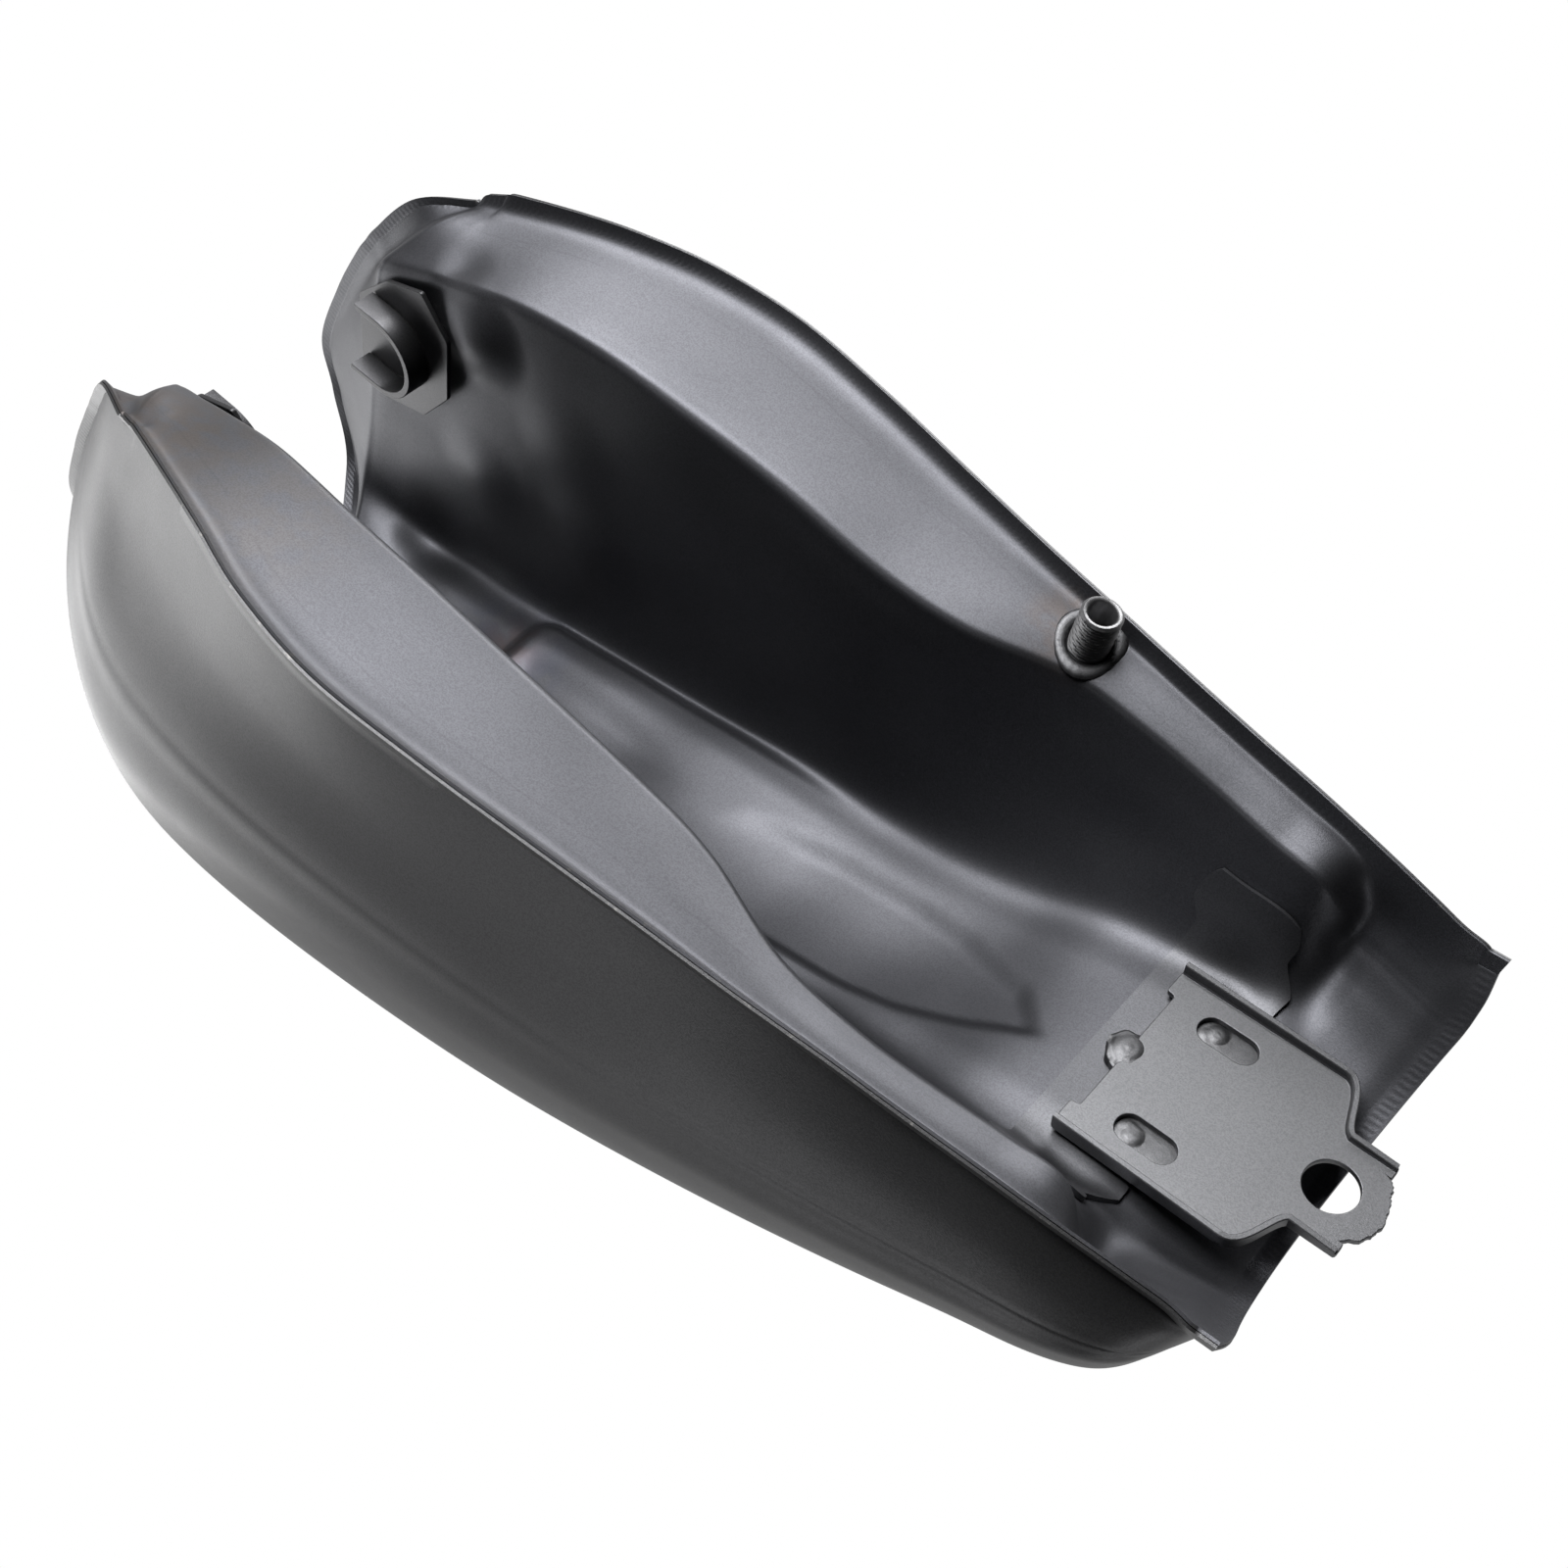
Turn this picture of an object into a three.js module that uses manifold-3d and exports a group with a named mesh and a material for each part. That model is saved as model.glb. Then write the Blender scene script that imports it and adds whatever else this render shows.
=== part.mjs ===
// Bare steel saddle tank for a cafe-racer motorcycle: two pressed outer halves, a tunnel pan seam-welded
// into them, the front rubber cups, the slotted rear bracket, the petcock spigot and a locking filler cap.
// Millimetres. +X points to the front of the motorcycle, +Y to its left, +Z up.
// The tank is drawn with x = 0 at the rear lip and z = 0 at the rear corners, and is centred at the end.
import * as THREE from 'three';
import { mergeVertices } from 'three/addons/utils/BufferGeometryUtils.js';
import Module from 'manifold-3d';

const wasm = await Module();
wasm.setup();

// ---------------------------------------------------------------- driving dimensions
const SHEET = 1.0;                 // thickness of the pressed steel
const SEAM_GAP = 0.3;              // space left between pieces that touch
const HALF_GAP = 0.15;             // from the centreline to the edge of each outer half
const FLANGE = 7;                  // height of the welded edge flange
const FLANGE_LEAN = 15;            // degrees that the side flange leans outward
const RIM_FLANGE = 6;              // length of the flange round the front arch
const TAIL_FLANGE = 7;             // length of the flange round the rear arch
const SHOULDER_POWER = 2.25;       // roundness of the upper half of each cross-section
const NOSE_ROUNDNESS = 0.4;        // 0 is a straight taper to the front arch, 1 is a quarter ellipse
const ROWS = 26;                   // facets along the tank
const COLS = 11;                   // facets from the seam to the centreline

// Cross-sections from rear to front. edge: free edge of the flange. belt: widest point of the skin.
// ridge: inner edge of the lobe. corner: where the tunnel wall meets its ceiling. Widths are half widths.
const sections = [
  { x: 62, edgeY: 94, edgeZ: -2.5, beltY: 114, beltZ: 41, topZ: 98, ridgeY: 75, ridgeZ: 16, cornerY: 52, cornerZ: 55 },
  { x: 85, edgeY: 96.5, edgeZ: -3, beltY: 119, beltZ: 47, topZ: 112, ridgeY: 75, ridgeZ: 17, cornerY: 50, cornerZ: 59 },
  { x: 110, edgeY: 99, edgeZ: -3, beltY: 124, beltZ: 53, topZ: 126, ridgeY: 76, ridgeZ: 19, cornerY: 49, cornerZ: 66 },
  { x: 140, edgeY: 102, edgeZ: -3.5, beltY: 129, beltZ: 61, topZ: 143, ridgeY: 76, ridgeZ: 24, cornerY: 47, cornerZ: 80 },
  { x: 175, edgeY: 106, edgeZ: -4, beltY: 134, beltZ: 71, topZ: 160, ridgeY: 74, ridgeZ: 21, cornerY: 46, cornerZ: 93 },
  { x: 215, edgeY: 110, edgeZ: -5, beltY: 139, beltZ: 82, topZ: 178, ridgeY: 67, ridgeZ: 13, cornerY: 47, cornerZ: 105 },
  { x: 255, edgeY: 114.5, edgeZ: -6.5, beltY: 142.5, beltZ: 93, topZ: 195, ridgeY: 65, ridgeZ: 9, cornerY: 48, cornerZ: 115 },
  { x: 300, edgeY: 119.5, edgeZ: -8.5, beltY: 145, beltZ: 104, topZ: 210, ridgeY: 65, ridgeZ: 5, cornerY: 49, cornerZ: 128 },
  { x: 345, edgeY: 122.3, edgeZ: -10, beltY: 147, beltZ: 113, topZ: 223, ridgeY: 63.5, ridgeZ: 3, cornerY: 50, cornerZ: 140 },
  { x: 385, edgeY: 117.5, edgeZ: -11, beltY: 147.5, beltZ: 120, topZ: 232, ridgeY: 62, ridgeZ: 3, cornerY: 50, cornerZ: 150 },
  { x: 415, edgeY: 109, edgeZ: -11, beltY: 146, beltZ: 126, topZ: 236.5, ridgeY: 59.5, ridgeZ: 5, cornerY: 50, cornerZ: 157 },
  { x: 440, edgeY: 101.5, edgeZ: -8.5, beltY: 143.5, beltZ: 130, topZ: 238, ridgeY: 57, ridgeZ: 9, cornerY: 51, cornerZ: 163 },
  { x: 468, edgeY: 93, edgeZ: -3.5, beltY: 136, beltZ: 131, topZ: 236.5, ridgeY: 54.5, ridgeZ: 18, cornerY: 51, cornerZ: 169 },
];
const tail = [                     // short rear sections of the skin, behind the lobes
  { x: 18, edgeY: 88.5, edgeZ: -0.7, beltY: 101, beltZ: 29, topZ: 75 },
  { x: 30, edgeY: 90, edgeZ: -1.4, beltY: 107, beltZ: 32, topZ: 82 },
  { x: 44, edgeY: 91.8, edgeZ: -2, beltY: 112, beltZ: 35, topZ: 89 },
];
// Root of the flange round the rear arch and the front arch, from the lower corner to the centreline.
const rearArch = [[7, 86.5, 7], [4.5, 80, 14], [3, 72, 24], [3, 62, 34.5], [3, 50, 45], [3, 36, 54], [3, 19, 61.5],
  [3, 0, 64.5]];
const frontArch = [[484, 86.5, 10.5], [506, 77, 19], [528, 70.5, 52], [547, 70, 92], [560, 69.5, 132],
  [548, 64, 153], [523, 48, 176], [492, 0, 191]];
// Where the pan stops hugging the skin and the two lobes begin.
const lobeEnd = [[44, 90, 4.8], [44, 88, 18], [44, 82, 30], [44, 73, 40], [44, 61, 48], [44, 44, 53], [44, 22, 55.5],
  [44, 0, 56]];
const LOBE_WALL_Y = 52;            // flat part of the tunnel wall that carries the front cups
const RIM_STEP = 4.5;              // the arch flange stands this much outside the tunnel wall

const CUP = { x: 491, z: 64, plateT: 2, wall: 3, outerR: 20, lowLeg: 12, highLeg: 17, width: 10.5, y: 46.5 };
// Corners of the plate behind each cup, forward and up from the middle of the cup.
const plateCorners = [[4, -31.5], [-16, -39.5], [-31, -23], [-31, 9], [-17, 29.5], [9, 37.5], [21, 24], [21, -13]];
const BRACKET = {                  // slotted rear bracket, measured in its own sloping plane from the tongue hole
  x: -0.9, z: 36.3, pitch: 10.5, thick: 2.5, halfWidth: 40.7, front: 83, earWidth: 12, recess: 3.5,
  lip: 4.8, shoulder: 18, tongueHalf: 20.7, tongueStart: 4, tongueCorner: -13.6, noseR: 20, holeR: 9.7,
  slotX: 55.4, slotY: 25, slotLength: 23, slotWidth: 11,
};
const DOUBLER = { rear: 48, front: 88, thick: 1.8 };
const SPIGOT = { x: 178.5, y: 92.5, tip: -14, top: 22, threadR: 8, boreR: 5.35, collarR: 12.5 };
const NECK = { x: 385, tilt: -11, holeR: 27.3, outerR: 26.8, innerR: 23.8, lipR: 20.5, low: -16, lipLow: 3.5, top: 7 };
const CAP = { plugR: 19.9, plugLow: -6, flangeR: 28, flangeT: 2, gasketT: 2, coverR: 32, coverH: 9, chamberR: 8.8 };
const LOCK = { barrelR: 8.4, stubR: 3, camLong: 8.4, camShort: 5, camT: 2.8, camLow: -0.3 };
const LATCH = { width: 9, thick: 3, low: -0.4, inner: 5.6, outer: 19.4, channelGap: 0.5 };
const KEY_COVER = { discR: 11, pivotY: 14, pivotR: 4.5, thick: 1.6, pinR: 1.5, pinHole: 1.8 };

// ---------------------------------------------------------------- materials
const metal = (color, roughness, metalness) => new THREE.MeshStandardMaterial({ color, roughness, metalness });
const materials = {
  outerPaint: () => metal(0x141416, 0.42, 0.35),
  panPaint: () => metal(0x4b4c50, 0.5, 0.45),
  bracketPaint: () => metal(0x303236, 0.5, 0.45),
  weld: () => metal(0x2a2b2e, 0.6, 0.5),
  spigotSteel: () => metal(0x3f4245, 0.4, 0.8),
  chrome: () => metal(0xc9ccd0, 0.12, 1.0),
  zinc: () => metal(0x8e9296, 0.35, 0.9),
  rubber: () => metal(0x151515, 0.85, 0.0),
};

// ---------------------------------------------------------------- geometry helpers
const lerp = (a, b, t) => a + (b - a) * t;
const lerpPoint = (a, b, t) => a.map((value, i) => lerp(value, b[i], t));
const rad = THREE.MathUtils.degToRad;
const lean = rad(FLANGE_LEAN);
const sideFlange = [0, FLANGE * Math.sin(lean), -FLANGE * Math.cos(lean)];
const addPoints = (a, b, scale = 1) => a.map((value, i) => value + b[i] * scale);

function catmull(p0, p1, p2, p3, t) {
  const blend = (a, b, c, d) => 0.5 * (2 * b + (c - a) * t + (2 * a - 5 * b + 4 * c - d) * t * t
    + (3 * b - a - 3 * c + d) * t * t * t);
  return p1.map((_, i) => blend(p0[i], p1[i], p2[i], p3[i]));
}

// A smooth curve through the points. A curve that ends on the centreline continues as its mirror image.
function curveAt(points, t, endsOnCentreline = false) {
  const last = points.length - 1;
  const f = THREE.MathUtils.clamp(t, 0, 1) * last;
  const i = Math.min(Math.floor(f), last - 1);
  const before = i > 0 ? points[i - 1] : addPoints(points[0].map((v) => 2 * v), points[1], -1);
  const mirrored = [points[last - 1][0], -points[last - 1][1], points[last - 1][2]];
  const beyond = endsOnCentreline ? mirrored : addPoints(points[last].map((v) => 2 * v), points[last - 1], -1);
  const after = i + 2 <= last ? points[i + 2] : beyond;
  return catmull(before, points[i], points[i + 1], after, f - i);
}

const surfaceAt = (net, u, v) => curveAt(net[0].map((_, k) => curveAt(net.map((row) => row[k]), u)), v, true);

function surfaceGrid(net, rows, cols) {
  return Array.from({ length: rows + 1 }, (_, i) => (
    Array.from({ length: cols + 1 }, (_, j) => surfaceAt(net, i / rows, j / cols))));
}

// A boundary grid gains its flanges: a first column down the side, a first row and a last row round the arches.
function withFlanges(grid) {
  const front = [RIM_FLANGE, 0, 0];
  const rear = [-TAIL_FLANGE, 0, 0];
  const sided = grid.map((row) => [addPoints(row[0], sideFlange), ...row]);
  const rearRow = sided[0].map((p) => addPoints(p, rear));
  const frontRow = sided.at(-1).map((p, j) => addPoints(p, front, j === 0 ? 0.8 : 1));
  return [rearRow, ...sided, frontRow];
}

function gridNormals(grid, onCentreline) {
  const vec = (p) => new THREE.Vector3(...p);
  return grid.map((row, i) => row.map((_, j) => {
    const along = vec(grid[Math.min(i + 1, grid.length - 1)][j]).sub(vec(grid[Math.max(i - 1, 0)][j]));
    const across = vec(row[Math.min(j + 1, row.length - 1)]).sub(vec(row[Math.max(j - 1, 0)]));
    const normal = across.cross(along);
    if (onCentreline && j === row.length - 1) normal.y = 0;
    return normal.normalize();
  }));
}

// A closed sheet-metal solid between two offsets of a grid of points.
function sheetSolid(grid, near, far, onCentreline = false) {
  const normals = gridNormals(grid, onCentreline);
  const rows = grid.length;
  const cols = grid[0].length;
  const positions = [];
  for (const offset of [near, far]) {
    grid.forEach((row, i) => row.forEach((p, j) => {
      const n = normals[i][j];
      positions.push(p[0] + n.x * offset, p[1] + n.y * offset, p[2] + n.z * offset);
    }));
  }
  const layer = rows * cols;
  const id = (i, j, top) => top * layer + i * cols + j;
  const index = [];
  const quad = (a, b, c, d) => index.push(a, b, c, a, c, d);
  for (let i = 0; i < rows - 1; i += 1) {
    for (let j = 0; j < cols - 1; j += 1) {
      quad(id(i, j, 0), id(i, j + 1, 0), id(i + 1, j + 1, 0), id(i + 1, j, 0));
      quad(id(i, j, 1), id(i + 1, j, 1), id(i + 1, j + 1, 1), id(i, j + 1, 1));
    }
  }
  for (let i = 0; i < rows - 1; i += 1) {
    quad(id(i, 0, 0), id(i + 1, 0, 0), id(i + 1, 0, 1), id(i, 0, 1));
    quad(id(i, cols - 1, 0), id(i, cols - 1, 1), id(i + 1, cols - 1, 1), id(i + 1, cols - 1, 0));
  }
  for (let j = 0; j < cols - 1; j += 1) {
    quad(id(0, j, 0), id(0, j, 1), id(0, j + 1, 1), id(0, j + 1, 0));
    quad(id(rows - 1, j, 0), id(rows - 1, j + 1, 0), id(rows - 1, j + 1, 1), id(rows - 1, j, 1));
  }
  const geometry = new THREE.BufferGeometry();
  geometry.setAttribute('position', new THREE.Float32BufferAttribute(positions, 3));
  geometry.setIndex(index);
  return signedVolume(geometry) < 0 ? flipFaces(geometry) : geometry;
}

function signedVolume(geometry) {
  const [a, b, c] = [new THREE.Vector3(), new THREE.Vector3(), new THREE.Vector3()];
  const { position } = geometry.attributes;
  let volume = 0;
  for (let i = 0; i < geometry.index.count; i += 3) {
    a.fromBufferAttribute(position, geometry.index.getX(i));
    b.fromBufferAttribute(position, geometry.index.getX(i + 1));
    c.fromBufferAttribute(position, geometry.index.getX(i + 2));
    volume += a.dot(b.cross(c)) / 6;
  }
  return volume;
}

function flipFaces(geometry) {
  const index = Array.from(geometry.index.array);
  for (let i = 0; i < index.length; i += 3) [index[i], index[i + 2]] = [index[i + 2], index[i]];
  geometry.setIndex(index);
  return geometry;
}

function mirrored(geometry) {
  const copy = geometry.clone();
  copy.scale(1, -1, 1);
  return flipFaces(copy);
}

// One shared vertex per point, and no faces that have shrunk to a line.
function weldedCopy(geometry) {
  const plain = geometry.clone();
  plain.deleteAttribute('normal');
  plain.deleteAttribute('uv');
  const merged = mergeVertices(plain, 1e-4);
  const index = [];
  for (let i = 0; i < merged.index.count; i += 3) {
    const [a, b, c] = [0, 1, 2].map((k) => merged.index.getX(i + k));
    if (a !== b && b !== c && c !== a) index.push(a, b, c);
  }
  merged.setIndex(index);
  return merged;
}

function toManifold(geometry) {
  const welded = weldedCopy(geometry);
  return new wasm.Manifold(new wasm.Mesh({
    numProp: 3,
    vertProperties: Float32Array.from(welded.attributes.position.array),
    triVerts: Uint32Array.from(welded.index.array),
  }));
}

function fromManifold(solid) {
  const mesh = solid.getMesh();
  const geometry = new THREE.BufferGeometry();
  geometry.setAttribute('position', new THREE.Float32BufferAttribute(mesh.vertProperties, 3));
  geometry.setIndex(Array.from(mesh.triVerts));
  return geometry;
}

const cut = (geometry, ...tools) => fromManifold(
  tools.reduce((solid, tool) => solid.subtract(toManifold(tool)), toManifold(geometry)));
const join = (geometry, ...others) => fromManifold(
  others.reduce((solid, other) => solid.add(toManifold(other)), toManifold(geometry)));

function largestBody(geometry) {
  const bodies = toManifold(geometry).decompose();
  return fromManifold(bodies.sort((a, b) => b.volume() - a.volume())[0]);
}

// Upright cylinder between two heights.
function cylinder(radius, low, high, segments = 40, x = 0, y = 0) {
  const geometry = new THREE.CylinderGeometry(radius, radius, high - low, segments);
  geometry.rotateX(Math.PI / 2);
  geometry.translate(x, y, (low + high) / 2);
  return geometry;
}

function box(sizeX, sizeY, sizeZ, x, y, z) {
  return new THREE.BoxGeometry(sizeX, sizeY, sizeZ).translate(x, y, z);
}

// A ring or boss turned from a closed outline of [radius, height] points.
function turned(profile, segments = 36) {
  const points = profile.map(([r, z]) => new THREE.Vector2(r, z));
  points.push(points[0].clone());
  const geometry = new THREE.LatheGeometry(points, segments);
  geometry.rotateX(Math.PI / 2);
  const welded = weldedCopy(geometry);
  return fromManifold(toManifold(signedVolume(welded) < 0 ? flipFaces(welded) : welded));
}

function extruded(shape, depth, curveSegments = 12) {
  return new THREE.ExtrudeGeometry(shape, { depth, bevelEnabled: false, curveSegments });
}

// ---------------------------------------------------------------- control nets of the skin and the pan
function skinSection({ x, edgeY, edgeZ, beltY, beltZ, topZ }) {
  const rootY = edgeY - sideFlange[1];
  const rootZ = edgeZ - sideFlange[2];
  const flare = 0.85 * THREE.MathUtils.clamp((x - 150) / 200, 0, 1);
  const lower = [0, 1 / 3, 2 / 3, 1].map((t) => {
    const convex = Math.sin(t * Math.PI / 2);
    const hollow = t * t * (3 - 2 * t);
    return [x, lerp(rootY, beltY, lerp(convex, hollow, flare)), lerp(rootZ, beltZ, t)];
  });
  const upper = [22.5, 45, 67.5].map((degrees) => [
    x,
    beltY * Math.cos(rad(degrees)) ** (2 / SHOULDER_POWER),
    lerp(beltZ, topZ, Math.sin(rad(degrees)) ** (2 / SHOULDER_POWER)),
  ]);
  return [...lower, ...upper, [x, 0, topZ]];
}

function panSection({ x, edgeY, edgeZ, ridgeY, ridgeZ, cornerY, cornerZ }) {
  const rootY = edgeY - sideFlange[1];
  const rootZ = edgeZ - sideFlange[2];
  const crown = 1 + 8 * THREE.MathUtils.clamp((x - 70) / 100, 0, 1);
  return [
    [x, rootY, rootZ],
    [x, lerp(rootY, ridgeY, 0.5) + 2, lerp(rootZ, ridgeZ, 0.35)],
    [x, ridgeY, ridgeZ],
    [x, lerp(ridgeY, cornerY, 0.38), lerp(ridgeZ, cornerZ, 0.22)],
    [x, lerp(ridgeY, cornerY, 0.58), lerp(ridgeZ, cornerZ, 0.62)],
    [x, cornerY, cornerZ],
    [x, cornerY * 0.57, cornerZ + crown * 0.7],
    [x, 0, cornerZ + crown],
  ];
}

function controlNets() {
  const [s18, s30, s44] = tail.map(skinSection);
  const behind = rearArch.map((p, k) => [10, ...lerpPoint(p, s18[k], 0.62).slice(1)]);
  behind[0] = [10, 86.9, 6.6];
  const skin = [rearArch, behind, s18, s30, s44, ...sections.map(skinSection)];
  const hug = (x, t) => rearArch.map((p, k) => [x, ...lerpPoint(p, lobeEnd[k], t).slice(1)]);
  const pan = [rearArch, hug(10, 0.08), hug(18, 0.3), hug(30, 0.62), lobeEnd.map((p) => [...p])];
  pan.slice(1).forEach((row, i) => { row[0] = skin[i + 1][0]; });
  pan.push(...sections.map(panSection));

  const lastSkin = skin.at(-1);
  const lastPan = pan.at(-1);
  const steps = [{ swing: 0.42, reach: 0.62, seam: 0.5 }, { swing: 0.8, reach: 1, seam: 0.85 }];
  for (const { swing, reach, seam } of steps) {
    const inward = 1 - Math.cos(swing * Math.PI / 2);
    const forward = Math.sin(swing * Math.PI / 2);
    const root = lerpPoint(lastSkin[0], frontArch[0], seam);
    skin.push(lastSkin.map((p, k) => {
      if (k === 0) return root;
      const rim = frontArch[k];
      const round = [lerp(p[0], rim[0] + 1, forward), lerp(p[1], rim[1], inward), lerp(p[2], rim[2], inward)];
      return lerpPoint(lerpPoint(p, rim, swing), round, NOSE_ROUNDNESS);
    }));
    pan.push(lastPan.map((p, k) => {
      if (k === 0) return root;
      const point = lerpPoint(p, addPoints(frontArch[k], [-9, 0, 0]), reach);
      if (k < frontArch.length - 1) point[1] -= RIM_STEP * reach;
      if (k >= 2 && k <= 4 && reach < 1) point[1] = LOBE_WALL_Y;
      return point;
    }));
  }
  skin.push(frontArch);
  pan.push(frontArch);
  return { skin, pan };
}

const { skin, pan } = controlNets();
const near = SEAM_GAP / 2;
const far = near + SHEET;

// ---------------------------------------------------------------- pressed sheets
function trimToHalf(row) {
  return row.map((p, j) => (j === row.length - 1 ? [p[0], HALF_GAP, p[2]] : p));
}

function outerHalf() {
  const grid = withFlanges(surfaceGrid(skin, ROWS, COLS)).map(trimToHalf);
  const hole = cylinder(NECK.holeR, -40, 40, 48);
  placeOnNeck(hole);
  return cut(sheetSolid(grid, near, far, true), hole);
}

// Both sides of a half grid, joined on the centreline.
const bothSides = (row) => [...row, ...row.slice(0, -1).reverse().map(([x, y, z]) => [x, -y, z])];

function tunnelPan() {
  const grid = withFlanges(surfaceGrid(pan, ROWS, COLS)).map(bothSides);
  const hole = cylinder(SPIGOT.threadR + 0.3, -30, 60, 32, SPIGOT.x, SPIGOT.y);
  return cut(sheetSolid(grid, -far, -near), hole);
}

// The height of the skin's top line above the filler neck, and the neck's frame on it.
function topOfSkinAt(x) {
  const topLine = Array.from({ length: 200 }, (_, i) => surfaceAt(skin, i / 199, 1));
  return topLine.reduce((best, p) => (Math.abs(p[0] - x) < Math.abs(best[0] - x) ? p : best))[2];
}
const neckTop = topOfSkinAt(NECK.x);

function placeOnNeck(geometry) {
  geometry.rotateY(rad(NECK.tilt));
  geometry.translate(NECK.x, 0, neckTop + far);
  return geometry;
}

// ---------------------------------------------------------------- front mounts
// Outlines in the plane of the tunnel wall, drawn forward and up from the middle of the cup.
function placeOnWall(geometry, y) {
  geometry.rotateX(Math.PI / 2);
  geometry.translate(CUP.x, y, CUP.z);
  return geometry;
}

function frontPlate() {
  const shape = new THREE.Shape(plateCorners.map(([px, pz]) => new THREE.Vector2(px, pz)));
  return placeOnWall(extruded(shape, CUP.plateT), CUP.y + CUP.plateT);
}

function frontCup() {
  const inner = CUP.outerR - CUP.wall;
  const shape = new THREE.Shape();
  shape.moveTo(CUP.lowLeg, -CUP.outerR);
  shape.lineTo(0, -CUP.outerR);
  shape.absarc(0, 0, CUP.outerR, -Math.PI / 2, Math.PI / 2, true);
  shape.lineTo(CUP.highLeg, CUP.outerR);
  shape.lineTo(CUP.highLeg, inner);
  shape.lineTo(0, inner);
  shape.absarc(0, 0, inner, Math.PI / 2, -Math.PI / 2, false);
  shape.lineTo(CUP.lowLeg, -inner);
  shape.closePath();
  return placeOnWall(extruded(shape, CUP.width), CUP.y - SEAM_GAP);
}

// ---------------------------------------------------------------- rear mount
// Points of the bracket are [forward, left, up from its visible face].
function placeOnBracket(geometry) {
  geometry.rotateY(rad(-BRACKET.pitch));
  geometry.translate(BRACKET.x, 0, BRACKET.z);
  return geometry;
}

function bracketOutline() {
  const b = BRACKET;
  const noseAngle = Math.acos(-b.tongueCorner / b.noseR);
  const shape = new THREE.Shape();
  shape.moveTo(b.front, b.halfWidth);
  shape.lineTo(b.front, b.halfWidth - b.earWidth);
  shape.lineTo(b.front - b.recess, b.halfWidth - b.earWidth);
  shape.lineTo(b.front - b.recess, b.earWidth - b.halfWidth);
  shape.lineTo(b.front, b.earWidth - b.halfWidth);
  shape.lineTo(b.front, -b.halfWidth);
  shape.lineTo(b.shoulder, -b.halfWidth);
  shape.bezierCurveTo(b.shoulder - 8, -b.halfWidth, b.tongueStart + 4, -b.tongueHalf - 3, b.tongueStart, -b.tongueHalf);
  shape.lineTo(b.tongueCorner, -b.tongueHalf);
  shape.absarc(0, 0, b.noseR, Math.PI + noseAngle, Math.PI - noseAngle, true);
  shape.lineTo(b.tongueCorner, b.tongueHalf);
  shape.lineTo(b.tongueStart, b.tongueHalf);
  shape.bezierCurveTo(b.tongueStart + 4, b.tongueHalf + 3, b.shoulder - 8, b.halfWidth, b.shoulder, b.halfWidth);
  shape.closePath();
  return shape;
}

function slotHole(x, y, length, width) {
  const half = length / 2 - width / 2;
  const path = new THREE.Path();
  path.absarc(x + half, y, width / 2, -Math.PI / 2, Math.PI / 2, false);
  path.absarc(x - half, y, width / 2, Math.PI / 2, 1.5 * Math.PI, false);
  path.closePath();
  return path;
}

function rearBracket() {
  const b = BRACKET;
  const shape = bracketOutline();
  shape.holes.push(new THREE.Path().absarc(0, 0, b.holeR, 0, 2 * Math.PI, false));
  for (const side of [1, -1]) shape.holes.push(slotHole(b.slotX, side * b.slotY, b.slotLength, b.slotWidth));
  const length = b.front - b.shoulder;
  const lips = [1, -1].map((side) => box(length, b.thick, b.lip + 1, b.shoulder + length / 2,
    side * (b.halfWidth - b.thick / 2), (1 - b.lip) / 2));
  const notch = cylinder(6.4, -5, 8, 24, b.front - b.recess, 0);
  return placeOnBracket(cut(join(extruded(shape, b.thick), ...lips), notch));
}

// The saddle-shaped doubler follows the pan from wing to wing.
const DOUBLER_WING = 0.5;          // where on the pan's half section its wing ends
function rearDoubler() {
  const along = 6;
  const across = 7;
  const rowOf = (x) => {
    const line = Array.from({ length: 400 }, (_, i) => i / 399);
    return line.reduce((best, u) => (Math.abs(surfaceAt(pan, u, 1)[0] - x) < Math.abs(surfaceAt(pan, best, 1)[0] - x)
      ? u : best));
  };
  const grid = Array.from({ length: along + 1 }, (_, i) => {
    const u = rowOf(lerp(DOUBLER.rear, DOUBLER.front, i / along));
    const half = Array.from({ length: across + 1 }, (_, j) => surfaceAt(pan, u, lerp(DOUBLER_WING, 1, j / across)));
    return bothSides(half);
  });
  const clear = far + SEAM_GAP;
  return largestBody(cut(sheetSolid(grid, -clear - DOUBLER.thick, -clear), keepOffPan()));
}

// The pan with its gap to the pieces below it, as a tool that trims them.
function keepOffPan() {
  return sheetSolid(withFlanges(surfaceGrid(pan, ROWS, COLS)).map(bothSides), -far - SEAM_GAP, 6);
}

// A weld bead on the bracket: a squashed ball from just inside the plate to just under the doubler.
function weldBead(x, y, radius, low, high) {
  const geometry = new THREE.SphereGeometry(radius, 12, 6);
  geometry.scale(1, 1, (high - low) / (2 * radius));
  geometry.translate(x, y, (high + low) / 2);
  return placeOnBracket(geometry);
}

// ---------------------------------------------------------------- petcock spigot
function petcockSpigot() {
  const s = SPIGOT;
  const chamfer = 0.8;
  const profile = [[s.boreR, s.tip + chamfer], [s.boreR + chamfer, s.tip], [s.threadR - chamfer, s.tip],
    [s.threadR, s.tip + chamfer], [s.threadR, s.top], [s.boreR, s.top]];
  return turned(profile, 36).translate(s.x, s.y, 0);
}

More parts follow.
